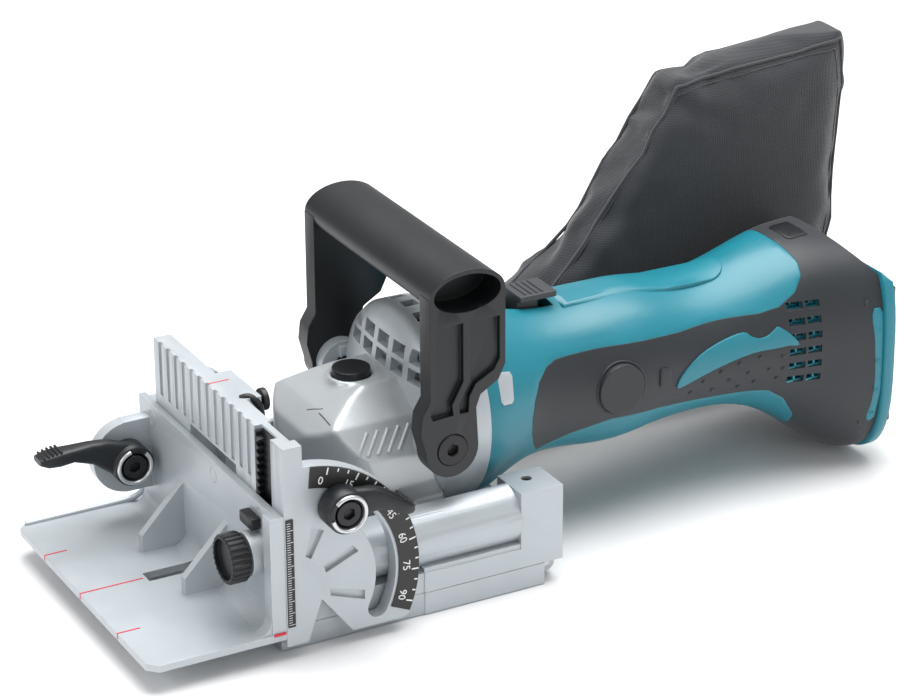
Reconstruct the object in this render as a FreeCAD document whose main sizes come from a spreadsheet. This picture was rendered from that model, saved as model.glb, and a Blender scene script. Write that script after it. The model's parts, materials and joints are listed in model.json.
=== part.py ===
import FreeCAD, Part

import math
import os

import Sketcher

V = FreeCAD.Vector
X, Y, Z = V(1, 0, 0), V(0, 1, 0), V(0, 0, 1)

doc = FreeCAD.newDocument("biscuit_joiner")

# ---------------------------------------------------------------- driving dimensions, mm
# The frame: +X to the scale side, -Y to the front, +Z up; z 0 is the sole, and the
# spindle axis stands at x 0, y 0 when the blade is drawn back.
SIZES = dict(
    fence_half_width=67.5, fence_front=-108.0, fence_plate_z=9.0, fence_plate=3.0,
    fence_back=-51.1, fence_top=61.0,
    guide_front=-51.0, guide_thick=6.0, guide_left=-51.5, guide_top=89.0, cheek_radius=51.0,
    tilt_y=-45.0, tilt_z=29.0, slot_radius=36.5, tilt_pin_radius=3.0,
    base_half_width=60.5, cover_floor=2.5, cover_top=9.3,
    rod_x=48.5, rod_z=29.5, rod_radius=5.0, rail_radius=12.5,
    blade_z=6.2, blade_body=3.0, blade_teeth=4.0, blade_bore=10.0,
    spindle_radius=5.0, motor_z=62.0, collar_radius=43.0,
    gear_teeth=30.0, pinion_teeth=10.0, gear_module=1.0,
    rack_module=1.0, rack_pinion_teeth=10.0, knob_x=50.5, knob_z=40.0,
    handle_half=54.0, handle_y=35.0, handle_z=129.5, handle_a=16.3, handle_b=9.5,
    handle_bolt_y=28.0, handle_bolt_z=65.0,
    bag_inner=-43.0, bag_outer=-90.0, running_gap=0.05,
)
sheet = doc.addObject("Spreadsheet::Sheet", "Sizes")
for row, (alias, number) in enumerate(SIZES.items(), 1):
    sheet.set("A%d" % row, alias)
    sheet.set("B%d" % row, str(number))
    sheet.setAlias("B%d" % row, alias)
doc.recompute()
S = {alias: float(getattr(sheet, alias)) for alias in SIZES}

PARTS = []
serial = [0]


def fresh(word):
    serial[0] += 1
    return "%s_%03d" % (word, serial[0])


def bind(obj, prop, value):
    """A number is set; a string is an expression in the sheet's aliases."""
    if isinstance(value, str):
        for alias in sorted(SIZES, key=len, reverse=True):
            value = value.replace("<%s>" % alias, "Sizes.%s" % alias)
        obj.setExpression(prop, value)
    else:
        setattr(obj, prop, value)


def number(value):
    """The value of a number or of an expression in the sheet's aliases."""
    if not isinstance(value, str):
        return value
    for alias in sorted(SIZES, key=len, reverse=True):
        value = value.replace("<%s>" % alias, repr(S[alias]))
    total = 0.0
    for term in value.replace("-", "+-").split("+"):
        term = term.strip()
        if not term:
            continue
        product, divide = 1.0, False
        for factor in term.replace("/", " / ").replace("*", " ").split():
            if factor == "/":
                divide = True
                continue
            sign = -1.0 if factor.startswith("-") else 1.0
            size = float(factor.lstrip("-") or 1)
            product = product * sign * (1 / size if divide else size)
            divide = False
        total += product
    return total


def box(x, y, z):
    """A block between pairs of coordinates along each axis."""
    b = doc.addObject("Part::Box", fresh("block"))
    for prop, pair in (("Length", x), ("Width", y), ("Height", z)):
        if any(isinstance(v, str) for v in pair):
            bind(b, prop, "(%s) - (%s)" % (pair[1], pair[0]))
        else:
            setattr(b, prop, pair[1] - pair[0])
    b.Placement.Base = V(number(x[0]), number(y[0]), number(z[0]))
    return b


TURN = {
    "x": FreeCAD.Rotation(Y, 90),
    "y": FreeCAD.Rotation(X, -90),
    "z": FreeCAD.Rotation(),
}


def cyl(axis, radius, centre, span):
    """A cylinder along an axis; centre gives the two other coordinates in X, Y, Z order."""
    c = doc.addObject("Part::Cylinder", fresh("round"))
    bind(c, "Radius", radius)
    c.Height = span[1] - span[0]
    place = {
        "x": (span[0], centre[0], centre[1]),
        "y": (centre[0], span[0], centre[1]),
        "z": (centre[0], centre[1], span[0]),
    }[axis]
    c.Placement = FreeCAD.Placement(V(*place), TURN[axis])
    return c


def tube(axis, outer, inner, centre, span):
    return cut(cyl(axis, outer, centre, span), cyl(axis, inner, centre, (span[0] - 1, span[1] + 1)))


def fuse(*shapes):
    f = doc.addObject("Part::MultiFuse", fresh("joined"))
    f.Shapes = list(shapes)
    f.Refine = True
    return f


def cut(base, *tools):
    c = doc.addObject("Part::Cut", fresh("cut"))
    c.Base = base
    c.Tool = tools[0] if len(tools) == 1 else fuse(*tools)
    c.Refine = True
    return c


def common(*shapes):
    c = doc.addObject("Part::MultiCommon", fresh("shared"))
    c.Shapes = list(shapes)
    c.Refine = True
    return c


def group(*shapes):
    """Identical loose pieces kept together as separate solids."""
    g = doc.addObject("Part::Compound", fresh("set"))
    g.Links = list(shapes)
    return g


def plane_of(body, role):
    return next(f for f in body.Origin.OriginFeatures if f.Role == role)


def sketch_on(body, role, points, circles=(), offset=0.0):
    """A closed outline, straight between its points, on one of the body's origin planes."""
    sk = body.newObject("Sketcher::SketchObject", fresh("outline"))
    sk.AttachmentSupport = (plane_of(body, role), "")
    sk.MapMode = "FlatFace"
    sk.AttachmentOffset = FreeCAD.Placement(V(0, 0, offset), FreeCAD.Rotation())
    corners = [V(a, b, 0) for a, b in points]
    for i, corner in enumerate(corners):
        sk.addGeometry(Part.LineSegment(corner, corners[(i + 1) % len(corners)]), False)
    for i in range(len(corners)):
        nxt = (i + 1) % len(corners)
        sk.addConstraint(Sketcher.Constraint("Coincident", i, 2, nxt, 1))
    for a, b, radius in circles:
        sk.addGeometry(Part.Circle(V(a, b, 0), Z, radius), False)
    return sk


def pad(role, points, length, start=0.0, circles=()):
    """A padded outline. XY: up from start; XZ: towards -Y from -start; YZ: along +X from start."""
    body = doc.addObject("PartDesign::Body", fresh("body"))
    sk = sketch_on(body, role, points, circles, start)
    p = body.newObject("PartDesign::Pad", fresh("pad"))
    p.Profile = sk
    bind(p, "Length", length)
    sk.Visibility = False
    body.Tip = p
    return body


def side(points, x, circles=()):
    """An outline in (y, z) padded from x[0] to x[1]."""
    return pad("YZ_Plane", points, x[1] - x[0], x[0], circles)


def turned(points, axis, centre):
    """A revolved outline in (radius, distance along the axis)."""
    body = doc.addObject("PartDesign::Body", fresh("body"))
    sk = sketch_on(body, "XZ_Plane", points)
    r = body.newObject("PartDesign::Revolution", fresh("turned"))
    r.Profile = sk
    r.ReferenceAxis = (sk, ["V_Axis"])
    r.Angle = 360
    sk.Visibility = False
    body.Tip = r
    body.Placement = FreeCAD.Placement(V(*centre), TURN[axis])
    return body


def made(shape):
    """A shape that no workbench feature makes, from Part's own functions."""
    f = doc.addObject("Part::Feature", fresh("made"))
    f.Shape = shape
    return f


def part(label, obj):
    obj.Label = label
    PARTS.append(obj)
    return obj


def circle_points(cy, cz, r, start, end, steps):
    """Points on an arc in (y, z); angles in degrees from +Z towards +Y."""
    out = []
    for i in range(steps + 1):
        a = math.radians(start + (end - start) * i / steps)
        out.append((cy + r * math.sin(a), cz + r * math.cos(a)))
    return out


def around(angle, radius):
    """A point round the tilt axis; the angle runs from +Z towards +Y."""
    a = math.radians(angle)
    return S["tilt_y"] + radius * math.sin(a), S["tilt_z"] + radius * math.cos(a)


SIDES = (("right", 1), ("left", -1))
BOLT = around(26.0, S["slot_radius"])
EARS = ((55.0, 60.0), (-54.0, -49.0))
CHEEKS = ((61.5, 67.5), (-60.5, -55.0))


def span(side_sign, near, far):
    return (near, far) if side_sign > 0 else (-far, -near)


# ---------------------------------------------------------------- base
def base_casting():
    hw = S["base_half_width"]
    roof = pad("XY_Plane", [(-54, -42), (60, -42), (60, 12), (hw, 12), (hw, 65.5), (-hw, 65.5),
                            (-hw, 12), (-54, 12)], 1.3, 9.5)
    deck = box(("-<base_half_width>", "<base_half_width>"), (12, 65.5), (9.5, 14))
    skirts = [box(span(s, 44, hw), (12, 65.5), (9.5, 18)) for _, s in SIDES]
    walls = [box((44, 60), (-26, 12.5), (9.5, 18)), box((-54, -44), (-26, 12.5), (9.5, 18))]
    posts, rails, blocks, holes = [], [], [], []
    for _, s in SIDES:
        outer = 60.0 if s > 0 else 54.0
        rx = s * S["rod_x"]
        posts.append(box(span(s, 41, outer), (-26, -14), (9.5, 42)))
        blocks.append(box(span(s, 41, hw), (55, 74), (9.5, 42)))
        half = cut(tube("y", S["rail_radius"], S["rail_radius"] - 2.2, (rx, S["rod_z"]), (-14.5, 55.5)),
                   box(span(s, 20, S["rod_x"]), (-15, 56), (10, 46)))
        rails.append(half)
        rails.append(box(span(s, S["rod_x"] + 6, 60), (12, 55.5), (14, 20)))
        holes.append(cyl("y", "<rod_radius>", (rx, S["rod_z"]), (-24, 72)))
        holes.append(cyl("z", 2.2, (rx, 64), (S["rod_z"] + 4, 45)))
    ears = []
    for near, far in EARS:
        outline = [(-42, 9.5), (-42, 22), (-40, 29), (-40, 50), (-38, 62)]
        outline += circle_points(BOLT[0], BOLT[1], 8.5, -60, 110, 10) + [(-14, 40), (-14, 9.5)]
        ears.append(side(outline, (near, far)))
        ears.append(cyl("x", 5.6, (S["tilt_y"], S["tilt_z"]), (near, far)))
        ears.append(box((near, far), (-45, -39), (26, 32)))
        holes.append(cyl("x", "<tilt_pin_radius>", (S["tilt_y"], S["tilt_z"]), (near - 1, far + 1)))
    holes.append(cyl("x", 4.0, BOLT, (54, 61)))
    knuckle = [box((-33.5, 33.5), (63, 73.5), (9.5, 14)), cyl("x", 3.9, (70, 5.5), (-33.5, 33.5)),
               box((-33.5, 33.5), (66.1, 73.9), (5.5, 12))]
    neck_slot = [box((-17, 17), (-50, 18), (9, 15)), cyl("x", 2.0, (70, 5.5), (-40, 40))]
    sole = box((-40, 40), (54, 74), (9.5, 16))
    body = fuse(roof, deck, sole, *skirts, *walls, *posts, *blocks, *rails, *ears, *knuckle)
    return part("base_casting", cut(body, *holes, *neck_slot))


def blade_cover():
    hw = S["base_half_width"]
    plan = pad("XY_Plane", [(-54, -50), (60, -50), (60, 12), (hw, 12), (hw, 65.8), (-hw, 65.8),
                            (-hw, 12), (-54, 12)], "<cover_top>", 0.0)
    pocket = box((-52, 52), (-52, 53), ("<cover_floor>", 12))
    knuckles = []
    for _, s in SIDES:
        x = span(s, 34.0, 54.0)
        knuckles += [cyl("x", 3.9, (70, 5.5), x), box(x, (64, 70), (1.7, 5.5))]
    pin_hole = cyl("x", 2.05, (70, 5.5), (-60, 60))
    screw_hole = fuse(cyl("z", 2.6, (56.2, -30), (-1, 10)), cyl("z", 3.4, (56.2, -30), (-1, 2.6)))
    part("blade_cover", cut(fuse(plan, *knuckles), pocket, pin_hole, screw_hole))
    head = cut(cyl("z", 3.3, (56.2, -30), (0.4, 2.55)), box((53, 59.5), (-30.5, -29.5), (0.3, 1.3)))
    part("cover_screw", fuse(head, cyl("z", 2.5, (56.2, -30), (2.5, 9.2))))
    part("cover_hinge_pin", cyl("x", 2.0, (70, 5.5), (-54, 54)))


def rods_and_springs():
    rods = [cyl("y", "<rod_radius>", (s * S["rod_x"], S["rod_z"]), (-24, 72)) for _, s in SIDES]
    part("guide_rods", group(*rods))
    screws = []
    for _, s in SIDES:
        x = s * S["rod_x"]
        screws.append(cut(cyl("z", 2.2, (x, 64), (34.5, 41)), cyl("z", 1.1, (x, 64), (38, 42))))
    part("rod_set_screws", group(*screws))
    coils = []
    pitch, radius = 4.0, 6.7
    helix = Part.makeHelix(pitch, pitch, radius)
    section = Part.makePolygon([V(radius + a, 0, b) for a, b in
                                ((-0.5, -0.6), (0.5, -0.6), (0.5, 0.6), (-0.5, 0.6), (-0.5, -0.6))])
    turn = Part.Wire(helix.Edges).makePipeShell([section], True, True)
    turns = [turn.copy() for _ in range(8)]
    for i, shape in enumerate(turns):
        shape.translate(V(0, 0, i * pitch))
    spring = turns[0].multiFuse(turns[1:])
    for _, s in SIDES:
        coil = made(spring)
        coil.Placement = FreeCAD.Placement(V(s * S["rod_x"], -12.9, S["rod_z"]), TURN["y"])
        coils.append(coil)
    part("return_springs", group(*coils))


def tilt_hardware():
    pins = [cyl("x", "<tilt_pin_radius>", (S["tilt_y"], S["tilt_z"]), x) for x in ((55, 66), (-60, -49))]
    part("tilt_pins", group(*pins))
    hexagon = [(BOLT[0] + 2.6 * math.sin(math.radians(60 * i)),
                BOLT[1] + 2.6 * math.cos(math.radians(60 * i))) for i in range(6)]
    head = cut(cyl("x", 5.0, BOLT, (74, 78.4)), side(hexagon, (76, 79)))
    part("tilt_lock_bolt", fuse(cyl("x", 4.0, BOLT, (54.5, 74.2)), head))
    lock_lever("tilt_lock_lever", BOLT, 68.3, 108.0, 0.74)


def lock_lever(name, hub, x0, heading, reach=1.0):
    """A cam lever: a round hub, a tapering arm with a ribbed tip, and a metal C-ring on its face."""
    cy, cz = hub
    a = math.radians(heading)
    along = (math.sin(a), math.cos(a))
    across = (math.cos(a), -math.sin(a))

    def at(d, w):
        return cy + along[0] * d * reach + across[0] * w, cz + along[1] * d * reach + across[1] * w

    arm = side([at(0, 8), at(12, 6.2), at(30, 2.8), at(40, 1.6), at(41, -1.8), at(34, -3.4),
                at(14, -6.5), at(0, -8)], (x0 + 1.5, x0 + 8.5))
    ribs = []
    for i in range(5):
        d = 32 + 1.7 * i
        ribs.append(side([at(d, 4), at(d + 0.8, 4), at(d + 0.8, -4.6), at(d, -4.6)], (x0 + 7.9, x0 + 9)))
    body = fuse(cyl("x", 8.6, hub, (x0, x0 + 10)), arm)
    well = fuse(cyl("x", 5.2, hub, (x0 + 5.5, x0 + 12)), cyl("x", 4.05, hub, (x0 - 1, x0 + 6)))
    groove = tube("x", 7.6, 6.3, hub, (x0 + 9, x0 + 11))
    part(name, cut(body, well, groove, *ribs))
    gap = side([at(0, 0), at(-14, 9), at(-14, -3)], (x0 + 7, x0 + 12))
    part(name + "_ring", cut(tube("x", 7.6, 6.3, hub, (x0 + 9, x0 + 10.5)), gap))


def depth_stop():
    arm = box((-54, -49), (61, 66.5), (42, 60))
    finger = box((-53, -46.8), (61, 66.5), (56.5, 59.5))
    part("depth_stop_bracket", fuse(arm, finger))
    centre = (-44.0, 58.0)
    lengths = [2.3, 15.4, 13.2, 6.5, 11.2, 2.3]
    disc = cyl("y", 7.8, centre, (91.3, 100.3))
    stubs, notches = [], []
    for i, length in enumerate(lengths):
        a = math.radians(-60.0 * i)
        x = centre[0] - 5 * math.cos(a)
        z = centre[1] - 5 * math.sin(a)
        stubs.append(cyl("y", 1.8, (x, z), (91.3 - length, 92.3)))
        b = math.radians(30 + 60.0 * i)
        notches.append(cyl("y", 1.4, (centre[0] + 8 * math.cos(b), centre[1] + 8 * math.sin(b)), (93.3, 101)))
    bore = cyl("y", 2.05, centre, (90, 101))
    part("depth_stop_turret", cut(fuse(disc, *stubs), bore, *notches))


def dust_parts():
    centre = (-52.0, 26.0)
    flange = box((-66, -39), (74, 77), (12, 41))
    nozzle = cut(fuse(flange, cyl("y", 12, centre, (76, 98))), cyl("y", 10, centre, (73, 99)))
    part("dust_nozzle", nozzle)
    part("bag_collar", tube("y", 14.5, 12, centre, (84, 98)))
    outline = [(98.4, 14), (98.4, 38), (110, 52), (152, 104), (191, 153), (196, 158), (271, 163),
               (279, 157), (279, 120), (273, 60), (262, 40), (230, 28), (140, 18)]
    bag = side(outline, (S["bag_outer"], S["bag_inner"]))
    part("dust_bag", bag)


# ---------------------------------------------------------------- angle guide and fence
def angle_guide():
    front, thick = S["guide_front"], S["guide_thick"]
    back = front + thick
    left = S["guide_left"]
    upper = box(("<guide_left>", "<fence_half_width>"), (front, back), (38, "<guide_top>"))
    lower = box((-48, 54), (front, back), (13, 38.5))
    cheeks = []
    for (near, far), radius in zip(CHEEKS, (S["cheek_radius"], 29.5)):
        notch = [(front, 5.6), (-42, 5.6), (-36, 22.5), (-23, 5.6), (-1, 5.6)]
        outline = notch if radius > 40 else [(front, 14), (-30, 14)]
        outline += circle_points(S["tilt_y"], S["tilt_z"], radius, 116, 0, 26)
        outline += [(front, S["tilt_z"] + radius)]
        cheeks.append(side(outline, (near, far)))
    post = box((61.5, "<fence_half_width>"), (front, back + 2), (60, "<guide_top>"))
    ledge = box((left, 42), (front, -43.5), (84, "<guide_top>"))
    tab = box((-8, 20), (-44, -37), (84, "<guide_top>"))
    bridge = box((-60.5, -50), (front, back), (38, 60))
    solid = fuse(upper, lower, post, ledge, tab, bridge, *cheeks)
    grooves = [box((x, x + 3.0), (front - 1, front + 1.0), (66, 95)) for x in
               (left + 5 + 7.5 * i for i in range(12))]
    channel = box((43, 57), (front - 1, front + 3.2), (10, 95))
    window = box((-18, 25), (front - 1, back + 1), (40, 65))
    blade_way = box((-34, 34), (front - 1, back + 1), (10, 24))
    slot_points = circle_points(S["tilt_y"], S["tilt_z"], S["slot_radius"] + 4.3, 26, 116, 18)
    slot_points += circle_points(S["tilt_y"], S["tilt_z"], S["slot_radius"] - 4.3, 116, 26, 18)
    ends = [cyl("x", 4.3, around(a, S["slot_radius"]), (61, 68)) for a in (26, 116)]
    slot = [side(slot_points, (61, 68)), *ends]
    pin_holes = [cyl("x", S["tilt_pin_radius"] + S["running_gap"], (S["tilt_y"], S["tilt_z"]), x)
                 for x in ((61, 66.2), (-61, -54.5))]
    bars = [side(corners, (65.9, 68)) for corners in (
        [(-35, 36.5), (-22.6, 42.3), (-20.2, 39.2), (-34, 33.5)],
        [(-32.7, 26.6), (-17.6, 21.8), (-17.7, 17.8), (-32.3, 23.2)],
        [(-42.5, 42.4), (-40.1, 40.8), (-34.5, 51.6), (-39.5, 54.4)])]
    guide = cut(solid, *grooves, channel, window, blade_way, *slot, *pin_holes, *bars)
    part("angle_guide", guide)
    band = circle_points(S["tilt_y"], S["tilt_z"], S["cheek_radius"] - 0.4, 6, 114, 24)
    band += circle_points(S["tilt_y"], S["tilt_z"], 42.0, 114, 6, 24)
    part("angle_scale", side(band, (67.5, 68.1)))
    part("height_ruler", box((67.5, 68.0), (-50.5, -47.5), (14, 59.5)))
    knob = fuse(cyl("y", 2.0, (13, 84), (-37, -34)), cyl("y", 4.5, (13, 84), (-34.5, -32)))
    part("guide_stop_knob", knob)


def rack_teeth_outline(count):
    """The rack's toothed edge in (x, z), its teeth towards +X."""
    pitch = math.pi * S["rack_module"]
    line = S["knob_x"] - S["rack_module"] * S["rack_pinion_teeth"] / 2
    root, tip = line - 1.15, line + 0.75
    points = [(43.1, 32.0)]
    first = S["knob_z"] - pitch * round((S["knob_z"] - 34.0) / pitch)
    points.append((root, 32.0))
    for i in range(count):
        z = first + pitch * i
        points += [(root, z - 0.95), (tip, z - 0.30), (tip, z + 0.30), (root, z + 0.95)]
    top = first + pitch * count
    return points + [(root, top), (43.1, top)]


def rack_and_knob():
    teeth = pad("XZ_Plane", rack_teeth_outline(17), 3.0, 0.0)
    teeth.Placement = FreeCAD.Placement(V(0, -47.95, 0), FreeCAD.Rotation())
    part("height_rack", teeth)
    n = int(S["rack_pinion_teeth"])
    pitch_r = S["rack_module"] * n / 2
    points = []
    for i in range(n):
        # a gap faces the rack's tooth at -X
        mid = math.pi + 2 * math.pi * (i + 0.5) / n
        root, tip = pitch_r - 1.15, pitch_r + 0.75
        points += [(root, mid - 0.95 / root * 0.9), (tip, mid - 0.28 / tip), (tip, mid + 0.28 / tip),
                   (root, mid + 0.95 / root * 0.9)]
    outline = [(S["knob_x"] + r * math.cos(a), S["knob_z"] + r * math.sin(a)) for r, a in points]
    gear = pad("XZ_Plane", outline, 2.8, 0.0)
    gear.Placement = FreeCAD.Placement(V(0, -48.1, 0), FreeCAD.Rotation())
    stem = cyl("y", 2.5, (S["knob_x"], S["knob_z"]), (-62, -50))
    part("height_pinion", fuse(gear, stem))
    flutes = []
    for i in range(18):
        a = 2 * math.pi * i / 18
        centre = (S["knob_x"] + 10.4 * math.cos(a), S["knob_z"] + 10.4 * math.sin(a))
        flutes.append(cyl("y", 0.9, centre, (-70, -61)))
    knob = fuse(cyl("y", 10.0, (S["knob_x"], S["knob_z"]), (-69, -61.5)),
                cyl("y", 6.0, (S["knob_x"], S["knob_z"]), (-61.5, -60.4)))
    part("height_knob", cut(knob, cyl("y", 2.5, (S["knob_x"], S["knob_z"]), (-62, -60)), *flutes))


def fence():
    hw = S["fence_half_width"]
    f, z = S["fence_front"], S["fence_plate_z"]
    plate = pad("XY_Plane", [(-hw, f + 4), (-hw + 4, f), (hw - 4, f), (hw, f + 4), (hw, S["fence_back"]),
                             (-hw, S["fence_back"])], "<fence_plate>", z)
    upright = box((-62, "<fence_half_width>"), (-54.1, "<fence_back>"), ("<fence_plate_z>", "<fence_top>"))
    post = box((61, "<fence_half_width>"), (-57, "<fence_back>"), ("<fence_plate_z>", "<fence_top>"))
    fillet = side([(-54.1, z + 3), (-57.1, z + 3), (-54.1, z + 6)], (-51, hw))
    gussets = [side([(-54, z + 2.5), (-73, z + 2.5), (-73, z + 10.5), (-54, 39.5)], (x, x + 3.5))
               for x in (-23, 18.5)]
    lug = [side(circle_points(-64, 39.5, 15.5, 0, 350, 35), (-57, -51)),
           box((-57, -51), (-66, "<fence_back>"), (24, 55))]
    boss = cyl("y", 9.0, (S["knob_x"], S["knob_z"]), (-60.3, -54))
    trim = box((-60, -50), ("<fence_back>", -40), (20, 60))
    solid = fuse(plate, upright, post, fillet, *gussets, *lug, boss)
    sight = box((-4, 3.5), (-80, -54), (z - 1, z + 4))
    shaft = cyl("y", S["running_gap"] + 2.5, (S["knob_x"], S["knob_z"]), (-62, -50))
    bolt_hole = cyl("x", 4.0, (-65.8, 39.5), (-58, -50))
    part("fence", cut(solid, sight, shaft, bolt_hole, trim))
    part("height_pointer", box((hw, hw + 0.6), (-56.5, -51.6), (11.6, 12.6)))
    hub = (-65.8, 39.5)
    hexagon = [(hub[0] + 2.6 * math.sin(math.radians(60 * i)),
                hub[1] + 2.6 * math.cos(math.radians(60 * i))) for i in range(6)]
    head = cut(cyl("x", 5.0, hub, (-45.0, -40.6)), side(hexagon, (-43, -40)))
    part("fence_lock_bolt", fuse(cyl("x", 4.0, hub, (-58.5, -44.8)), head))
    lock_lever("fence_lock_lever", hub, -50.8, 281.0)


# ---------------------------------------------------------------- cutter
def bevel_wheel(teeth, mate_teeth, face, half_pitch, bore, back):
    """A straight bevel wheel about +Z with its apex at the origin and its body below it."""
    m = S["gear_module"]
    pitch_r, mate_r = m * teeth / 2, m * mate_teeth / 2
    delta = math.atan2(pitch_r, mate_r)
    reach = math.hypot(pitch_r, mate_r)
    ded, add = 1.15 * m, 0.75 * m

    def at(distance, height):
        """(radius, depth below the apex) at a cone distance and height over the pitch cone."""
        r = distance * math.sin(delta) + height * math.cos(delta)
        d = distance * math.cos(delta) - height * math.sin(delta)
        return r, -d

    near, far = (reach - face), reach
    low = -(mate_r + back)
    r_in, z_in = at(near, -ded * near / far)
    r_out, z_out = at(far, -ded)
    blank = turned([(bore, z_in), (r_in, z_in), (r_out, z_out), (r_out, z_out - 1.5),
                    (max(bore + 3, r_in - 1), low), (bore, low)], "z", (0, 0, 0))
    wedges = []
    for i in range(teeth):
        a = 2 * math.pi * (i + half_pitch) / teeth
        radial, across = V(math.cos(a), math.sin(a), 0), V(-math.sin(a), math.cos(a), 0)
        wires = []
        for distance in (near, far):
            k = distance / far
            corners = []
            for height, half in ((-ded * 1.05, 1.0 * m), (add, 0.26 * m)):
                r, z = at(distance, height * k)
                corners.append((r, z, half * k))
            (r0, z0, h0), (r1, z1, h1) = corners
            loop = [radial * r0 + across * h0 + Z * z0, radial * r1 + across * h1 + Z * z1,
                    radial * r1 - across * h1 + Z * z1, radial * r0 - across * h0 + Z * z0]
            wires.append(Part.makePolygon(loop + [loop[0]]))
        wedges.append(Part.makeLoft(wires, True, True))
    doc.recompute()
    blank_shape = blank.Shape
    return blank_shape.multiFuse(wedges).removeSplitter()


def cutter():
    z0 = S["motor_z"]
    gear_n, pinion_n = int(S["gear_teeth"]), int(S["pinion_teeth"])
    wheel = made(bevel_wheel(gear_n, pinion_n, 4.5, 0.0, S["spindle_radius"], 4.5))
    wheel.Placement = FreeCAD.Placement(V(0, 0, z0), FreeCAD.Rotation(Z, 90))
    part("bevel_gear", wheel)
    small = made(bevel_wheel(pinion_n, gear_n, 4.5, 0.0, 2.5, 3.5))
    # the pinion's axis lies along +Y, and a gap of it faces straight down
    small.Placement = FreeCAD.Placement(V(0, 0, z0), FreeCAD.Rotation(V(1, 0, 0), V(0, 0, -1), V(0, -1, 0), "ZXY"))
    part("bevel_pinion", small)
    spindle = fuse(cyl("z", "<spindle_radius>", (0, 0), (3.0, 66)), cyl("z", 4.0, (0, 0), (65.5, 71)))
    part("spindle", spindle)
    flange = cut(fuse(cyl("z", 15, (0, 0), (7.7, 12)), cyl("z", "<blade_bore>", (0, 0), (4.7, 8))),
                 cyl("z", "<spindle_radius>", (0, 0), (4, 13)))
    part("inner_flange", flange)
    sockets = [cyl("z", 1.5, (s * 10, 0), (2, 5)) for s in (1, -1)]
    part("lock_nut", cut(cyl("z", 14, (0, 0), (2.9, 4.7)), cyl("z", "<spindle_radius>", (0, 0), (2, 6)), *sockets))
    body = tube("z", 46.0, S["blade_bore"], (0, 0), (S["blade_z"] - 1.5, S["blade_z"] + 1.5))
    teeth, gullets = [], []
    for i in range(6):
        a = 60.0 * i
        tooth = pad("XY_Plane", [(43, -6), (49.2, -6), (50, 0), (43, 0)], "<blade_teeth>", S["blade_z"] - 2)
        tooth.Placement = FreeCAD.Placement(V(0, 0, 0), FreeCAD.Rotation(Z, a))
        back = pad("XY_Plane", [(36, -5.5), (48.8, -5.5), (45.0, -22), (40, -24)], "<blade_body>", S["blade_z"] - 1.5)
        back.Placement = FreeCAD.Placement(V(0, 0, 0), FreeCAD.Rotation(Z, a))
        teeth += [tooth, back]
        b = math.radians(a + 6)
        gullets.append(cyl("z", 4.2, (43.4 * math.cos(b), 43.4 * math.sin(b)), (3, 9)))
    part("saw_blade", cut(fuse(body, *teeth), *gullets))


# ---------------------------------------------------------------- carriage
def housing_shell():
    """The solid outside shape of the gear housing."""
    profile = side([(-18.5, 30), (-18.5, 58), (-16, 65), (-8, 72), (2, 77.5), (10, 80.5), (34, 80.5), (34, 30)],
                   (-40, 40))
    plan = pad("XY_Plane", circle_plan(), 60, 28)
    shoulders = pad("XZ_Plane", [(-34, 28), (34, 28), (37, 44), (35, 58), (27, 70), (13, 81), (-13, 81), (-27, 70),
                                 (-35, 58), (-37, 44)], 60, 0)
    shoulders.Placement = FreeCAD.Placement(V(0, 36, 0), FreeCAD.Rotation())
    return common(profile, plan, shoulders)


def gear_housing(shell):
    neck = cyl("z", 13.0, (0, 0), (12.6, 31))
    rear = cyl("y", 39.0, (0, S["motor_z"]), (31.6, 34))
    boss = cyl("z", 10.0, (0, 11.5), (74, 80.6))
    arms, bores = [], []
    for _, s in SIDES:
        rx = s * S["rod_x"]
        arms.append(cyl("y", 9.6, (rx, S["rod_z"]), (20, 50)))
        arms.append(box(span(s, 20, S["rod_x"]), (20, 33.9), (24, 36)))
        bores.append(cyl("y", 7.0, (rx, S["rod_z"]), (19, 51)))
    hollow = [cyl("z", 16.6, (0, 0), (42, 60)), cyl("y", 9.5, (0, S["motor_z"]), (4, 27)),
              cyl("z", 8.0, (0, 0), (59, 71)), cyl("z", 11.0, (0, 0), (30, 43)), cyl("z", 5.6, (0, 0), (12, 31)),
              cyl("y", 11.0, (0, S["motor_z"]), (26, 35)), cyl("z", 2.7, (0, 11.5), (60, 76)),
              cyl("z", 7.95, (0, 11.5), (75.5, 82))]
    part("gear_housing", cut(fuse(shell, neck, rear, boss, *arms), *hollow, *bores))
    bushes = [tube("y", 7.0, S["rod_radius"] + S["running_gap"], (s * S["rod_x"], S["rod_z"]), y)
              for _, s in SIDES for y in ((20, 30), (40, 50))]
    part("slide_bushes", group(*bushes))
    bearings = [tube("z", 11.0, 5.0, (0, 0), (30, 37)), tube("z", 8.0, 4.0, (0, 0), (66, 71))]
    part("spindle_bearings", group(*bearings))


def circle_plan():
    """The housing from above: a round nose and straight flanks, in (x, y)."""
    nose = []
    for i in range(21):
        a = math.radians(-90 - 90 + 180 * i / 20)
        nose.append((37 * math.cos(a) * (1 if abs(math.cos(a)) > 0.01 else 0), 10 + 28.5 * math.sin(a)))
    return nose + [(37, 34), (-37, 34)]


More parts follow.
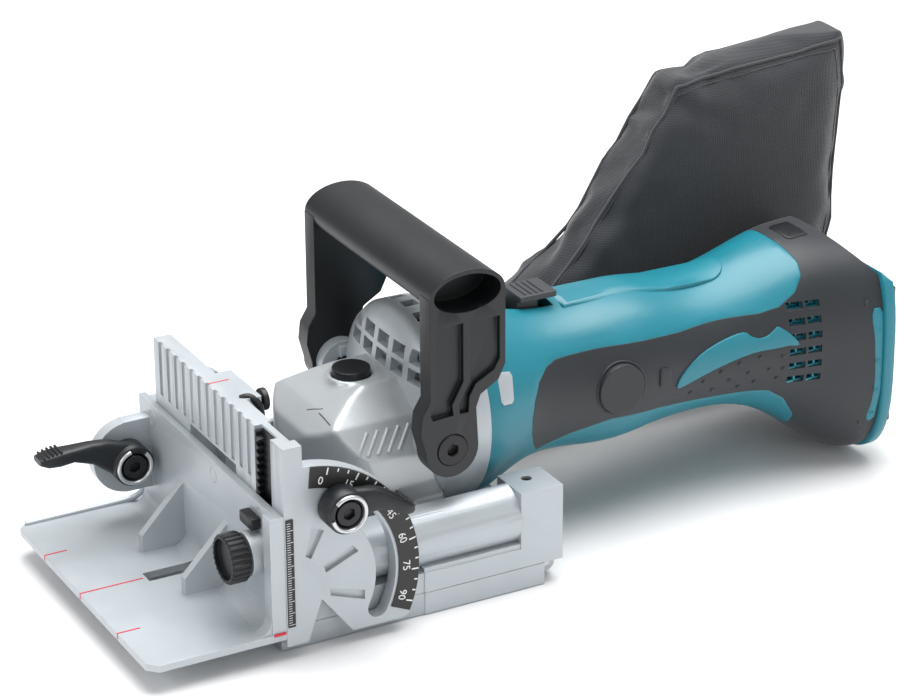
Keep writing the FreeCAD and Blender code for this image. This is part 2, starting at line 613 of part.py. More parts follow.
def vent_collar(shell):
    """The air collar: a ring with a sloping front wall, and windows in the wall and round the ring."""
    r = S["collar_radius"]
    ring = turned([(39.1, 31.5), (18, 27.5), (18, 24), (36, 27), (41, 29.5), (r, 33), (r, 44), (r - 1, 46),
                   (r - 1, 52), (30, 52), (30, 49.5), (39.1, 49.5)], "y", (0, 0, S["motor_z"]))
    bosses, holes, slots = [], [], []
    for _, s in SIDES:
        bosses.append(cyl("x", 10.0, (S["handle_bolt_y"], S["handle_bolt_z"]), span(s, 40, 45.6)))
        bosses.append(box(span(s, 38.5, 42.5), (26, 40), (57, 73)))
        holes.append(cyl("x", 4.0, (S["handle_bolt_y"], S["handle_bolt_z"]), span(s, 36.0, 47)))
        slots.append(box(span(s, 18, 49), (10, 34.0), (23.9, 36.1)))
    windows = []
    for x in (-29.2, -16.8, -4.4, 8.0, 20.4):
        for z in (81.6, 89.2):
            windows.append(box((x, x + 8.8), (20, 31), (z, z + 5.6)))
    for i in range(9):
        angle = -60 + 15 * i
        w = box((-2.9, 2.9), (34.5, 41), (34, 48))
        w.Placement = FreeCAD.Placement(V(0, 0, S["motor_z"]), FreeCAD.Rotation(Y, angle)).multiply(
            FreeCAD.Placement(V(-2.9, 34.5, 34), FreeCAD.Rotation()))
        windows.append(w)
    core = cyl("y", 39.1, (0, S["motor_z"]), (31.55, 49.5))
    part("vent_collar", cut(fuse(ring, *bosses), shell, *windows, *holes, *slots, core))


def shaft_lock():
    cap = fuse(cyl("z", 7.8, (0, 11.5), (79.4, 83.0)), cyl("z", 2.5, (0, 11.5), (72.3, 80)))
    part("shaft_lock_button", cap)
    rings = tube("z", 4.6, 3.4, (0, 11.5), (75.7, 79.2))
    part("shaft_lock_spring", rings)


def motor():
    z0 = S["motor_z"]
    c = (0, z0)
    part("motor_shaft", fuse(cyl("y", 2.5, c, (12, 26)), cyl("y", 5.0, c, (26, 182))))
    slots = []
    for i in range(12):
        a = 2 * math.pi * i / 12
        slots.append(cyl("y", 1.6, (17.2 * math.cos(a), z0 + 17.2 * math.sin(a)), (100, 160)))
    part("armature_core", cut(cyl("y", 18.4, c, (106, 146)), cyl("y", 5.0, c, (105, 147)), *slots))
    part("commutator", tube("y", 11.0, 5.0, c, (152, 166)))
    blades = []
    for i in range(9):
        b = box((-0.8, 0.8), (38, 44), (9, 36))
        b.Placement = FreeCAD.Placement(V(0, 0, z0), FreeCAD.Rotation(Y, 40 * i)).multiply(
            FreeCAD.Placement(V(-0.8, 38, 9), FreeCAD.Rotation()))
        blades.append(b)
    part("cooling_fan", cut(fuse(cyl("y", 10, c, (38, 46)), cyl("y", 36, c, (44, 46)), *blades),
                            cyl("y", 5.0, c, (37, 47))))
    part("motor_bearings", group(tube("y", 11.0, 5.0, c, (26, 33)), tube("y", 9.5, 5.0, c, (173, 180))))
    part("field_stator", tube("y", 26.0, 19.2, c, (104, 148)))
    brushes, caps = [], []
    for _, s in SIDES:
        brushes.append(box(span(s, 11.1, 26), (156, 162), (z0 - 4, z0 + 4)))
        caps.append(cyl("x", 10.5, (117.5, z0 + 0.5), span(s, 27.5, 33.4)))
    part("brushes", group(*brushes))
    part("brush_caps", group(*caps))


def ring_section(y, half, low, high, power):
    """A closed rounded section across the motor axis: an ellipse at power 2, squarer above it."""
    mid, tall = (low + high) / 2, (high - low) / 2
    points = []
    for i in range(24):
        a = 2 * math.pi * i / 24
        c, s = math.cos(a), math.sin(a)
        x = half * math.copysign(abs(c) ** (2 / power), c)
        z = mid + tall * math.copysign(abs(s) ** (2 / power), s)
        points.append(V(x, y, z))
    curve = Part.BSplineCurve()
    curve.interpolate(points, PeriodicFlag=True)
    return Part.Wire(curve.toShape())


# y, half-width, bottom, top, squareness
BODY_SECTIONS = ((52, 41.5, 20.5, 103.5, 2.0), (58, 41.0, 21.0, 102.5, 2.0), (72, 36.5, 26.5, 98.5, 2.0),
                 (92, 32.2, 30.4, 94.6, 2.0), (140, 31.6, 30.6, 93.8, 2.0), (184, 31.7, 30.3, 94.0, 2.0),
                 (203, 34.0, 22.5, 99.0, 2.2), (224, 37.5, 7.0, 101.0, 2.6), (246, 39.5, 4.4, 101.0, 3.2))


def body_shape(shrink):
    wires = [ring_section(y, w - shrink, a + shrink, b - shrink, p) for y, w, a, b, p in BODY_SECTIONS]
    return Part.makeLoft(wires, True, False)


def motor_housing():
    outer, under, inner = body_shape(0.0), body_shape(1.5), body_shape(3.5)
    doc.recompute()
    nose = Part.makeBox(90, 8, 120, V(-45, 47, -5))
    slope = Part.Face(Part.makePolygon([V(-60, 228, 102), V(-60, 250, 79), V(-60, 250, 102), V(-60, 228, 102)]))
    slope = slope.extrude(V(120, 0, 0))
    end = Part.makeBox(100, 8, 130, V(-50, 242, -10))
    cavity = inner.cut(end)
    seat = Part.makeCylinder(9.5, 16, V(0, 167, S["motor_z"]), Y)
    wall = Part.makeCylinder(29, 14, V(0, 168, S["motor_z"]), Y).cut(seat)
    stator_ring = Part.makeCylinder(29, 44, V(0, 104, S["motor_z"]), Y).cut(
        Part.makeCylinder(26, 46, V(0, 103, S["motor_z"]), Y))
    grip_points = [(82, 40.5), (77.5, 46), (74.8, 53), (74.2, 60), (75.5, 67), (79, 74), (84, 78.3), (89, 79.8),
                   (110, 80), (130, 79.2), (149, 78.5), (168, 79.3), (186, 79.3), (195.5, 80.8), (203.5, 85.3),
                   (208.5, 91), (209.5, 95), (208, 99), (204, 104), (243, 104), (243, 0), (216, 0), (213, 14),
                   (208, 27), (200, 38), (192, 43.5), (184, 44.5), (164, 45.6), (138, 48), (114, 49), (97, 45.5)]
    face = Part.Face(Part.makePolygon([V(0, y, z) for y, z in grip_points + grip_points[:1]]))
    skin = outer.cut(under).cut(slope)
    shell = outer.cut(slope).cut(cavity).fuse([wall, stator_ring])
    shell = shell.cut(Part.makeBox(13, 26, 12, V(-6.5, 74, 88)))
    half = Part.makeBox(60, 220, 130, V(0, 45, -10))
    grip = skin.common(face.extrude(V(60, 0, 0)))
    opening = Part.makeCylinder(10.55, 20, V(20, 117.5, S["motor_z"] + 0.5), X)
    slots = []
    for i in range(6):
        for j in range(2):
            slots.append(Part.makeBox(100, 7.2 - j, 3.0, V(-50, 198.5 + 8.3 * j, 79 - 6.4 * i)))
    shape = shell.common(half).cut(grip).cut(opening).cut(slots)
    grip = grip.cut(opening).cut(slots)
    post = Part.makeBox(19, 3.8, 6, V(-49, 101.8, 55)).fuse(Part.makeCylinder(2.0, 12, V(-44, 91.8, 58), Y))
    part("motor_housing_right", made(shape))
    part("side_grip_right", made(grip))
    part("motor_housing_left", made(shape.mirror(V(0, 0, 0), X)))
    part("side_grip_left", made(grip.mirror(V(0, 0, 0), X)))
    part("depth_stop_post", made(post.cut(outer)))


def electrics():
    rod = fuse(box((-8, 8), (84, 101), (97.6, 100.4)), box((-5, 5), (84, 94), (90, 97.8)))
    part("slide_switch", rod)
    part("switch_block", box((-10, 10), (192, 214), (50, 82)))
    rail = [box((-28.5, 28.5), (246, 248), (16, 78))]
    for _, s in SIDES:
        rail.append(box(span(s, 24, 28.5), (247.5, 252), (16, 78)))
        rail.append(box(span(s, 20, 28.5), (251.5, 254.5), (16, 78)))
    blades = [box((s * 9 - 0.5, s * 9 + 0.5), (248, 253), (54, 66)) for _, s in SIDES]
    part("battery_rail", fuse(*rail))
    part("battery_contacts", group(*blades))
    part("controller_board", box((-24, 24), (220, 223), (30, 70)))


def handle():
    y0, z0 = S["handle_y"], S["handle_z"]
    a, b = S["handle_a"], S["handle_b"]

    def oval(ra, rb, x):
        e = Part.Ellipse(V(x, y0 + ra, z0), V(x, y0, z0 + rb), V(x, y0, z0))
        return Part.Face(Part.Wire(e.toShape()))

    half = S["handle_half"]
    bar = oval(a, b, -half).extrude(V(2 * half, 0, 0))
    pockets = [oval(a - 1.8, b - 1.8, half - 14).extrude(V(16, 0, 0)),
               oval(a - 1.8, b - 1.8, -half - 2).extrude(V(16, 0, 0))]
    pieces = [made(bar)]
    by, bz = S["handle_bolt_y"], S["handle_bolt_z"]
    holes = []
    for _, s in SIDES:
        leg = side([(y0 - 16.5, z0), (y0 - 16.5, 87), (15.1, 81.5), (14.2, 74)] +
                   circle_points(by, bz, 11.5, 272, 90, 16) +
                   [(38.6, 81), (40.5, 86), (48.5, 90.8), (y0 + 16.5, 97), (y0 + 16.5, z0)], span(s, 45.8, half))
        recess = [side(corners, span(s, half - 2.4, half + 1)) for corners in (
            [(21, 117.5), (33, 117.5), (33, 93), (28, 84), (28.6, 79.5), (19.6, 79), (18.6, 81.5), (21.4, 88.5)],
            [(36, 117.5), (49, 117.5), (49, 99.5), (46.4, 95.2), (38.4, 91), (35.6, 86), (35.2, 79.5),
             (31.4, 79.6), (30.8, 83.5), (36, 92.6)])]
        pieces.append(cut(leg, *recess))
        holes += [cyl("x", 4.0, (by, bz), span(s, 44, 58)), cyl("x", 6.6, (by, bz), span(s, 50.5, 58))]
    part("handle", cut(fuse(*pieces), *holes, *[made(p) for p in pockets]))
    bolts = []
    for _, s in SIDES:
        hexagon = [(by + 2.6 * math.sin(math.radians(60 * i)), bz + 2.6 * math.cos(math.radians(60 * i)))
                   for i in range(6)]
        head = cut(cyl("x", 6.4, (by, bz), span(s, 50.5, 54.5)), side(hexagon, span(s, 52, 55)))
        bolts.append(fuse(head, cyl("x", 3.95, (by, bz), span(s, 40.2, 51))))
    part("handle_bolts", group(*bolts))


base_casting()
blade_cover()
rods_and_springs()
tilt_hardware()
depth_stop()
dust_parts()
angle_guide()
rack_and_knob()
fence()
cutter()
shell = housing_shell()
gear_housing(shell)
vent_collar(shell)
shaft_lock()
motor()
motor_housing()
electrics()
handle()

doc.recompute()
faults = []
for obj in doc.Objects:
    if "Invalid" in obj.State or "Error" in obj.State:
        faults.append("%s (%s): %s" % (obj.Name, obj.Label, obj.State))
for obj in PARTS:
    if obj.Shape.isNull() or not obj.Shape.isValid() or not obj.Shape.Solids:
        faults.append("%s has no valid solid" % obj.Label)
    print(obj.Label, len(obj.Shape.Solids), round(obj.Shape.Volume))
if faults:
    raise SystemExit("\n".join(faults))
os.makedirs("parts", exist_ok=True)
for obj in PARTS:
    obj.Shape.exportStep("parts/%s.step" % obj.Label)
print(len(PARTS), "nodes")
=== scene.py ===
import json
import math

import bmesh
import bpy
from mathutils import Matrix, Vector
from mathutils.bvhtree import BVHTree
from mathutils.geometry import delaunay_2d_cdt


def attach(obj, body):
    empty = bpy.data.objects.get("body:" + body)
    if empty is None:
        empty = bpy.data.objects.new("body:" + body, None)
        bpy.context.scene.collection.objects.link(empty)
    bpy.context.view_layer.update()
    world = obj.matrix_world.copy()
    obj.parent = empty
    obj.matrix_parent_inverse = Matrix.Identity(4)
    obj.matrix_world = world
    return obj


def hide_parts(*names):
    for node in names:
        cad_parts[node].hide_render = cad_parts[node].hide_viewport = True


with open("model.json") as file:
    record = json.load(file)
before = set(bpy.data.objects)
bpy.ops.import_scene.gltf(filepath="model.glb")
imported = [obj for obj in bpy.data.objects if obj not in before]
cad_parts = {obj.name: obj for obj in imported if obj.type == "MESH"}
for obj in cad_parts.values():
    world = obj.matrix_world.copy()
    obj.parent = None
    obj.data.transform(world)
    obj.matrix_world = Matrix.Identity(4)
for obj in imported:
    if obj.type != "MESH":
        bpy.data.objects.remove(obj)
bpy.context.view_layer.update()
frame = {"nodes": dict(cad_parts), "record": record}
NODES = frame["nodes"]
BODY_OF = {n: b for b, names in frame["record"]["behaviour"]["bodies"].items() for n in names}
MM = 0.001


# ---------------------------------------------------------------- materials
def socket(tree, kind, **values):
    node = tree.nodes.new(kind)
    for key, value in values.items():
        node.inputs[key.replace("_", " ")].default_value = value
    return node


def map_range(tree, source, low, high, to_low, to_high):
    node = tree.nodes.new("ShaderNodeMapRange")
    for key, value in zip(("From Min", "From Max", "To Min", "To Max"), (low, high, to_low, to_high)):
        node.inputs[key].default_value = value
    tree.links.new(source, node.inputs["Value"])
    return node.outputs["Result"]


def mix(tree, factor, a, b):
    node = tree.nodes.new("ShaderNodeMix")
    node.data_type = "RGBA"
    for value, name in ((factor, "Factor"), (a, "A"), (b, "B")):
        target = next(s for s in node.inputs if s.name == name and (name == "Factor" or s.type == "RGBA"))
        if isinstance(value, (tuple, list)):
            target.default_value = (*value, 1.0)
        else:
            tree.links.new(value, target)
    return next(s for s in node.outputs if s.type == "RGBA")


def tint(colour, k):
    return tuple(max(0.0, min(1.0, c * k)) for c in colour)


def material(name, colour, rough, metal=0.0, cloud=0.08, grain=0.5, bump=0.15, wear=None, edge=0.5,
             coat=0.0, sheen=0.0, stretch=(1.0, 1.0, 1.0), weave=0.0, spread=0.06):
    """A moulded, cast, ground or woven finish: clouding, fine grain, worn edges, painted shade between woven yarns,
    varying roughness and bump.
    grain and edge are in mm; weave is the yarn pitch in mm."""
    m = bpy.data.materials.new(name)
    m.use_nodes = True
    tree = m.node_tree
    link = tree.links.new
    bsdf = tree.nodes["Principled BSDF"]
    bsdf.inputs["Metallic"].default_value = metal
    bsdf.inputs["Coat Weight"].default_value = coat
    bsdf.inputs["Coat Roughness"].default_value = 0.25
    bsdf.inputs["Sheen Weight"].default_value = sheen
    bsdf.inputs["Sheen Roughness"].default_value = 0.5
    place = tree.nodes.new("ShaderNodeTexCoord").outputs["Object"]
    scaled = tree.nodes.new("ShaderNodeMapping")
    scaled.inputs["Scale"].default_value = stretch
    link(place, scaled.inputs["Vector"])
    broad = socket(tree, "ShaderNodeTexNoise", Scale=26.0, Detail=5.0, Roughness=0.6)
    fine = socket(tree, "ShaderNodeTexNoise", Scale=1000.0 / grain, Detail=3.0)
    link(place, broad.inputs["Vector"])
    link(scaled.outputs[0], fine.inputs["Vector"])
    cloudy = map_range(tree, broad.outputs["Fac"], 0.3, 0.7, 0.0, 1.0)
    shade = mix(tree, cloudy, tint(colour, 1 - cloud), tint(colour, 1 + 0.6 * cloud))
    speck = map_range(tree, fine.outputs["Fac"], 0.35, 0.65, 0.0, 0.35)
    shade = mix(tree, speck, shade, tint(colour, 1 - 1.6 * cloud))
    height = fine.outputs["Fac"]
    if weave:
        yarns = []
        for axis in ("Y", "Z"):
            wave = socket(tree, "ShaderNodeTexWave", Scale=314.16 / weave, Distortion=0.6)
            wave.bands_direction = axis
            wave.inputs["Detail Scale"].default_value = 3.0
            link(place, wave.inputs["Vector"])
            yarns.append(wave.outputs["Fac"])
        both = tree.nodes.new("ShaderNodeMath")
        both.operation = "MAXIMUM"
        link(yarns[0], both.inputs[0])
        link(yarns[1], both.inputs[1])
        added = tree.nodes.new("ShaderNodeMath")
        added.operation = "MULTIPLY_ADD"
        added.inputs[1].default_value = 0.5
        link(fine.outputs["Fac"], added.inputs[0])
        link(both.outputs[0], added.inputs[2])
        height = added.outputs[0]
        # Painted shade: the colour darkens between the yarns, where shade falls.
        yarn_gap_shade = map_range(tree, both.outputs[0], 0.3, 1.0, 0.35, 0.0)
        shade = mix(tree, yarn_gap_shade, shade, tint(colour, 0.5))
    rounded = socket(tree, "ShaderNodeBevel", Radius=edge * MM)
    rounded.samples = 4
    if wear:
        dot = tree.nodes.new("ShaderNodeVectorMath")
        dot.operation = "DOT_PRODUCT"
        link(rounded.outputs[0], dot.inputs[0])
        link(tree.nodes.new("ShaderNodeNewGeometry").outputs["Normal"], dot.inputs[1])
        edges = map_range(tree, dot.outputs["Value"], 0.97, 0.82, 0.0, 1.0)
        patchy = map_range(tree, broad.outputs["Fac"], 0.42, 0.62, 0.1, 0.9)
        worn = tree.nodes.new("ShaderNodeMath")
        worn.operation = "MULTIPLY"
        link(edges, worn.inputs[0])
        link(patchy, worn.inputs[1])
        shade = mix(tree, worn.outputs[0], shade, wear)
    link(shade, bsdf.inputs["Base Color"])
    link(map_range(tree, broad.outputs["Fac"], 0.3, 0.7, rough - spread, rough + spread),
         bsdf.inputs["Roughness"])
    relief = socket(tree, "ShaderNodeBump", Strength=bump, Distance=0.0002)
    link(height, relief.inputs["Height"])
    link(rounded.outputs[0], relief.inputs["Normal"])
    link(relief.outputs[0], bsdf.inputs["Normal"])
    return m


CAST = material("cast_paint", (0.47, 0.51, 0.54), 0.42, 0.35, 0.07, 0.5, 0.22, wear=(0.78, 0.8, 0.82),
                coat=0.12)
# Painted light: the gear housing's paint is lightened to stand in for the bright light falling on its top.
HOUSING_PAINT_PAINTED_LIGHT = material("housing_paint_painted_light", (0.52, 0.55, 0.57), 0.36, 0.4, 0.08, 0.45, 0.2, wear=(0.7, 0.72, 0.74),
                coat=0.1)
TEAL = material("teal_plastic", (0.008, 0.19, 0.25), 0.38, 0.0, 0.07, 0.5, 0.1, wear=(0.03, 0.27, 0.33),
                coat=0.15)
BLACK = material("black_plastic", (0.005, 0.007, 0.009), 0.42, 0.0, 0.2, 0.35, 0.22,
                 wear=(0.07, 0.07, 0.075))
RUBBER = material("grip_rubber", (0.0105, 0.0145, 0.0195), 0.5, 0.0, 0.2, 0.3, 0.3, wear=(0.06, 0.06, 0.065),
                  sheen=0.15)
GREY = material("switch_plastic", (0.045, 0.048, 0.054), 0.5, 0.0, 0.12, 0.35, 0.2, wear=(0.16, 0.16, 0.17))
STEEL = material("ground_steel", (0.56, 0.56, 0.58), 0.3, 1.0, 0.1, 0.25, 0.15, wear=(0.75, 0.75, 0.76),
                 edge=0.25)
SPRING = material("spring_steel", (0.42, 0.42, 0.44), 0.35, 1.0, 0.12, 0.2, 0.1, edge=0.1)
RING = material("ring_steel", (0.62, 0.63, 0.65), 0.3, 0.85, 0.08, 0.25, 0.1, wear=(0.8, 0.8, 0.82), edge=0.2)
BOLT = material("black_bolt", (0.03, 0.03, 0.032), 0.33, 0.6, 0.15, 0.25, 0.15, wear=(0.2, 0.2, 0.21), edge=0.3)
BLADE = material("blade_steel", (0.6, 0.6, 0.62), 0.25, 1.0, 0.1, 0.3, 0.12, stretch=(0.08, 1.0, 1.0), edge=0.2)
BRONZE = material("bronze", (0.5, 0.36, 0.16), 0.4, 1.0, 0.12, 0.3, 0.15, edge=0.2)
COPPER = material("copper", (0.55, 0.27, 0.14), 0.35, 1.0, 0.12, 0.3, 0.15, edge=0.2)
CORE = material("core_iron", (0.14, 0.14, 0.15), 0.5, 0.7, 0.15, 0.3, 0.2, stretch=(1.0, 12.0, 1.0), edge=0.2)
BOARD = material("circuit_board", (0.02, 0.13, 0.05), 0.4, 0.0, 0.2, 0.4, 0.15, edge=0.2)
CARBON = material("carbon", (0.02, 0.02, 0.02), 0.6, 0.1, 0.2, 0.3, 0.2, edge=0.2)
SCALE = material("scale_print", (0.012, 0.012, 0.013), 0.38, 0.0, 0.2, 0.4, 0.08, edge=0.2)
WHITE = material("white_print", (0.82, 0.82, 0.82), 0.5, 0.0, 0.05, 0.3, 0.05, edge=0.1)
RED = material("red_print", (0.62, 0.02, 0.05), 0.45, 0.0, 0.12, 0.3, 0.05, edge=0.1)
# Painted shade: a dark colour standing in for the shade inside the engraved arrow's groove.
GROOVE_SHADE = material("engraved_groove_shade", (0.09, 0.095, 0.10), 0.6, 0.2, 0.1, 0.3, 0.1, edge=0.1)
CLOTH = material("bag_cloth", (0.019, 0.022, 0.027), 0.85, 0.0, 0.16, 0.5, 0.7, sheen=0.35, weave=0.9, edge=0.3)
SEAM = material("bag_seam", (0.035, 0.036, 0.042), 0.8, 0.0, 0.15, 0.4, 0.5, sheen=0.3, weave=0.6, edge=0.2)

FINISH = {
    "base_casting": CAST, "blade_cover": CAST, "cover_screw": STEEL, "cover_hinge_pin": STEEL,
    "guide_rods": STEEL, "rod_set_screws": BOLT, "return_springs": SPRING, "tilt_pins": STEEL,
    "tilt_lock_bolt": BOLT, "tilt_lock_lever": BLACK, "tilt_lock_lever_ring": RING,
    "depth_stop_bracket": CAST, "depth_stop_turret": BLACK, "dust_nozzle": BLACK, "bag_collar": BLACK,
    "dust_bag": CLOTH, "angle_guide": CAST, "angle_scale": SCALE, "height_ruler": SCALE,
    "guide_stop_knob": BLACK, "height_rack": BLACK, "height_pinion": STEEL, "height_knob": BLACK,
    "fence": CAST, "height_pointer": RED, "fence_lock_bolt": BOLT, "fence_lock_lever": BLACK,
    "fence_lock_lever_ring": RING, "bevel_gear": STEEL, "bevel_pinion": STEEL, "spindle": STEEL,
    "inner_flange": STEEL, "lock_nut": BOLT, "saw_blade": BLADE, "gear_housing": HOUSING_PAINT_PAINTED_LIGHT,
    "slide_bushes": BRONZE, "spindle_bearings": STEEL, "vent_collar": CAST, "shaft_lock_button": BLACK,
    "shaft_lock_spring": SPRING, "motor_shaft": STEEL, "armature_core": CORE, "commutator": COPPER,
    "cooling_fan": BLACK, "motor_bearings": STEEL, "field_stator": CORE, "brushes": CARBON,
    "brush_caps": RUBBER, "depth_stop_post": TEAL, "motor_housing_right": TEAL, "side_grip_right": RUBBER,
    "motor_housing_left": TEAL, "side_grip_left": RUBBER, "slide_switch": GREY, "switch_block": BLACK,
    "battery_rail": BLACK, "battery_contacts": COPPER, "controller_board": BOARD, "handle": BLACK,
    "handle_bolts": BOLT,
}
for node_name, node in NODES.items():
    node.data.materials.clear()
    node.data.materials.append(FINISH[node_name])


# ---------------------------------------------------------------- mesh helpers
def add(name, mesh, finish, body, replaced=(), angle=35.0):
    """A piece from a mesh in metres: shaded smooth up to the angle, finished, and riding on a body."""
    mesh.name = name
    mesh.materials.clear()
    mesh.materials.append(finish)
    mesh.shade_smooth()
    mesh.set_sharp_from_angle(angle=math.radians(angle))
    piece = bpy.data.objects.new(name, mesh)
    bpy.context.scene.collection.objects.link(piece)
    if replaced:
        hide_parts(*replaced)
    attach(piece, body)
    return piece


def from_parts(bm_list):
    """One mesh in metres from several bmeshes in millimetres."""
    joined = bmesh.new()
    for bm in bm_list:
        part = bpy.data.meshes.new("part")
        bm.to_mesh(part)
        joined.from_mesh(part)
        bm.free()
        bpy.data.meshes.remove(part)
    bmesh.ops.scale(joined, vec=(MM, MM, MM), verts=joined.verts)
    bmesh.ops.recalc_face_normals(joined, faces=joined.faces)
    mesh = bpy.data.meshes.new("joined")
    joined.to_mesh(mesh)
    joined.free()
    return mesh


def rounded(bm, width, segments=2, limit=30.0):
    """Rounds the sharp edges of a bmesh."""
    sharp = [e for e in bm.edges if len(e.link_faces) == 2 and e.calc_face_angle(0) > math.radians(limit)]
    bmesh.ops.bevel(bm, geom=sharp, offset=width, segments=segments, profile=0.6, affect="EDGES",
                    clamp_overlap=True)
    return bm


def block(x, y, z, width=0.5):
    bm = bmesh.new()
    bmesh.ops.create_cube(bm, size=1.0)
    bmesh.ops.scale(bm, vec=(x[1] - x[0], y[1] - y[0], z[1] - z[0]), verts=bm.verts)
    bmesh.ops.translate(bm, vec=(sum(x) / 2, sum(y) / 2, sum(z) / 2), verts=bm.verts)
    return rounded(bm, width)


def slab(outline, axis, low, high, width=0.4, segments=2):
    """An outline extruded along X, Y or Z. The outline is in the two other axes, in order."""
    def at(a, b, c):
        return {"X": (c, a, b), "Y": (a, c, b), "Z": (a, b, c)}[axis]

    bm = bmesh.new()
    near = [bm.verts.new(at(a, b, low)) for a, b in outline]
    far = [bm.verts.new(at(a, b, high)) for a, b in outline]
    count = len(outline)
    for i in range(count):
        bm.faces.new((near[i], near[(i + 1) % count], far[(i + 1) % count], far[i]))
    bm.faces.new(near)
    bm.faces.new(far)
    bmesh.ops.recalc_face_normals(bm, faces=bm.faces)
    return rounded(bm, width, segments) if width else bm


def loft(sections):
    """A closed skin through rings with the same number of points."""
    bm = bmesh.new()
    rings = [[bm.verts.new(p) for p in ring] for ring in sections]
    count = len(rings[0])
    for a, b in zip(rings, rings[1:]):
        for i in range(count):
            bm.faces.new((a[i], a[(i + 1) % count], b[(i + 1) % count], b[i]))
    bm.faces.new(rings[0])
    bm.faces.new(rings[-1])
    bmesh.ops.recalc_face_normals(bm, faces=bm.faces)
    return bm


def frames_along(points):
    """Two side directions at each point of a path, without twisting."""
    pts = [Vector(p) for p in points]
    out = []
    side = None
    for i, p in enumerate(pts):
        ahead = (pts[min(i + 1, len(pts) - 1)] - pts[max(i - 1, 0)]).normalized()
        if side is None:
            side = ahead.cross(Vector((0.31, 0.17, 0.93))).normalized()
        side = (side - ahead * side.dot(ahead)).normalized()
        out.append((p, side, ahead.cross(side)))
    return out


def rod(points, radius, sides=10):
    """A round bead along a path."""
    rings = []
    for p, a, b in frames_along(points):
        rings.append([p + radius * (math.cos(t) * a + math.sin(t) * b)
                      for t in (2 * math.pi * k / sides for k in range(sides))])
    return loft(rings)


def smooth_path(points, steps=6, closed=False):
    """Catmull-Rom through the points."""
    pts = [Vector(p) for p in points]
    n = len(pts)
    out = []
    for i in range(n if closed else n - 1):
        if closed:
            p0, p1, p2, p3 = (pts[(i + k) % n] for k in (-1, 0, 1, 2))
        else:
            p0, p1, p2, p3 = pts[max(i - 1, 0)], pts[i], pts[i + 1], pts[min(i + 2, n - 1)]
        for s in range(steps):
            t = s / steps
            out.append(0.5 * (2 * p1 + (p2 - p0) * t + (2 * p0 - 5 * p1 + 4 * p2 - p3) * t * t
                              + (3 * p1 - p0 - 3 * p2 + p3) * t * t * t))
    if not closed:
        out.append(pts[-1])
    return out


def tree_of(*names):
    """A search tree over CAD nodes, in millimetres."""
    verts, faces = [], []
    for n in names:
        start = len(verts)
        verts += [v.co * 1000 for v in NODES[n].data.vertices]
        faces += [[start + i for i in p.vertices] for p in NODES[n].data.polygons]
    return BVHTree.FromPolygons(verts, faces)


def side_x(tree, sign, y, z):
    """Where the side of a shape is, seen from the right or the left."""
    hit = tree.ray_cast(Vector((sign * 120, y, z)), Vector((-sign, 0, 0)))[0]
    return (hit or tree.find_nearest(Vector((sign * 60, y, z)))[0]).x


def softened(node_name, width=0.5, finish=None, limit=35.0):
    """A CAD node's own shape with its sharp edges rounded, standing for the node."""
    bm = bmesh.new()
    bm.from_mesh(NODES[node_name].data)
    bmesh.ops.remove_doubles(bm, verts=bm.verts, dist=0.000004)
    bmesh.ops.dissolve_limit(bm, angle_limit=math.radians(0.6), verts=bm.verts, edges=bm.edges)
    mesh = bpy.data.meshes.new(node_name)
    bm.to_mesh(mesh)
    bm.free()
    piece = add(node_name + "_body", mesh, finish or FINISH[node_name], BODY_OF[node_name], (node_name,), limit)
    edge = piece.modifiers.new("edges", "BEVEL")
    edge.width = width * MM
    edge.segments = 2
    edge.limit_method = "ANGLE"
    edge.angle_limit = math.radians(limit)
    edge.use_clamp_overlap = True
    edge.harden_normals = True
    return piece


def melted(node_name, voxel, rounds, finish=None):
    """A CAD node's shape remeshed and smoothed, for a casting with soft blends, standing for the node."""
    mesh = NODES[node_name].data.copy()
    piece = add(node_name + "_body", mesh, finish or FINISH[node_name], BODY_OF[node_name], (node_name,), 180.0)
    cells = piece.modifiers.new("cells", "REMESH")
    cells.mode = "VOXEL"
    cells.voxel_size = voxel * MM
    cells.use_smooth_shade = True
    blend = piece.modifiers.new("blend", "SMOOTH")
    blend.factor = 0.5
    blend.iterations = rounds
    return piece


def surface_tree(piece):
    """A search tree over a piece as its modifiers leave it, in millimetres."""
    graph = bpy.context.evaluated_depsgraph_get()
    mesh = piece.evaluated_get(graph).to_mesh()
    return BVHTree.FromPolygons([v.co * 1000 for v in mesh.vertices], [list(p.vertices) for p in mesh.polygons])


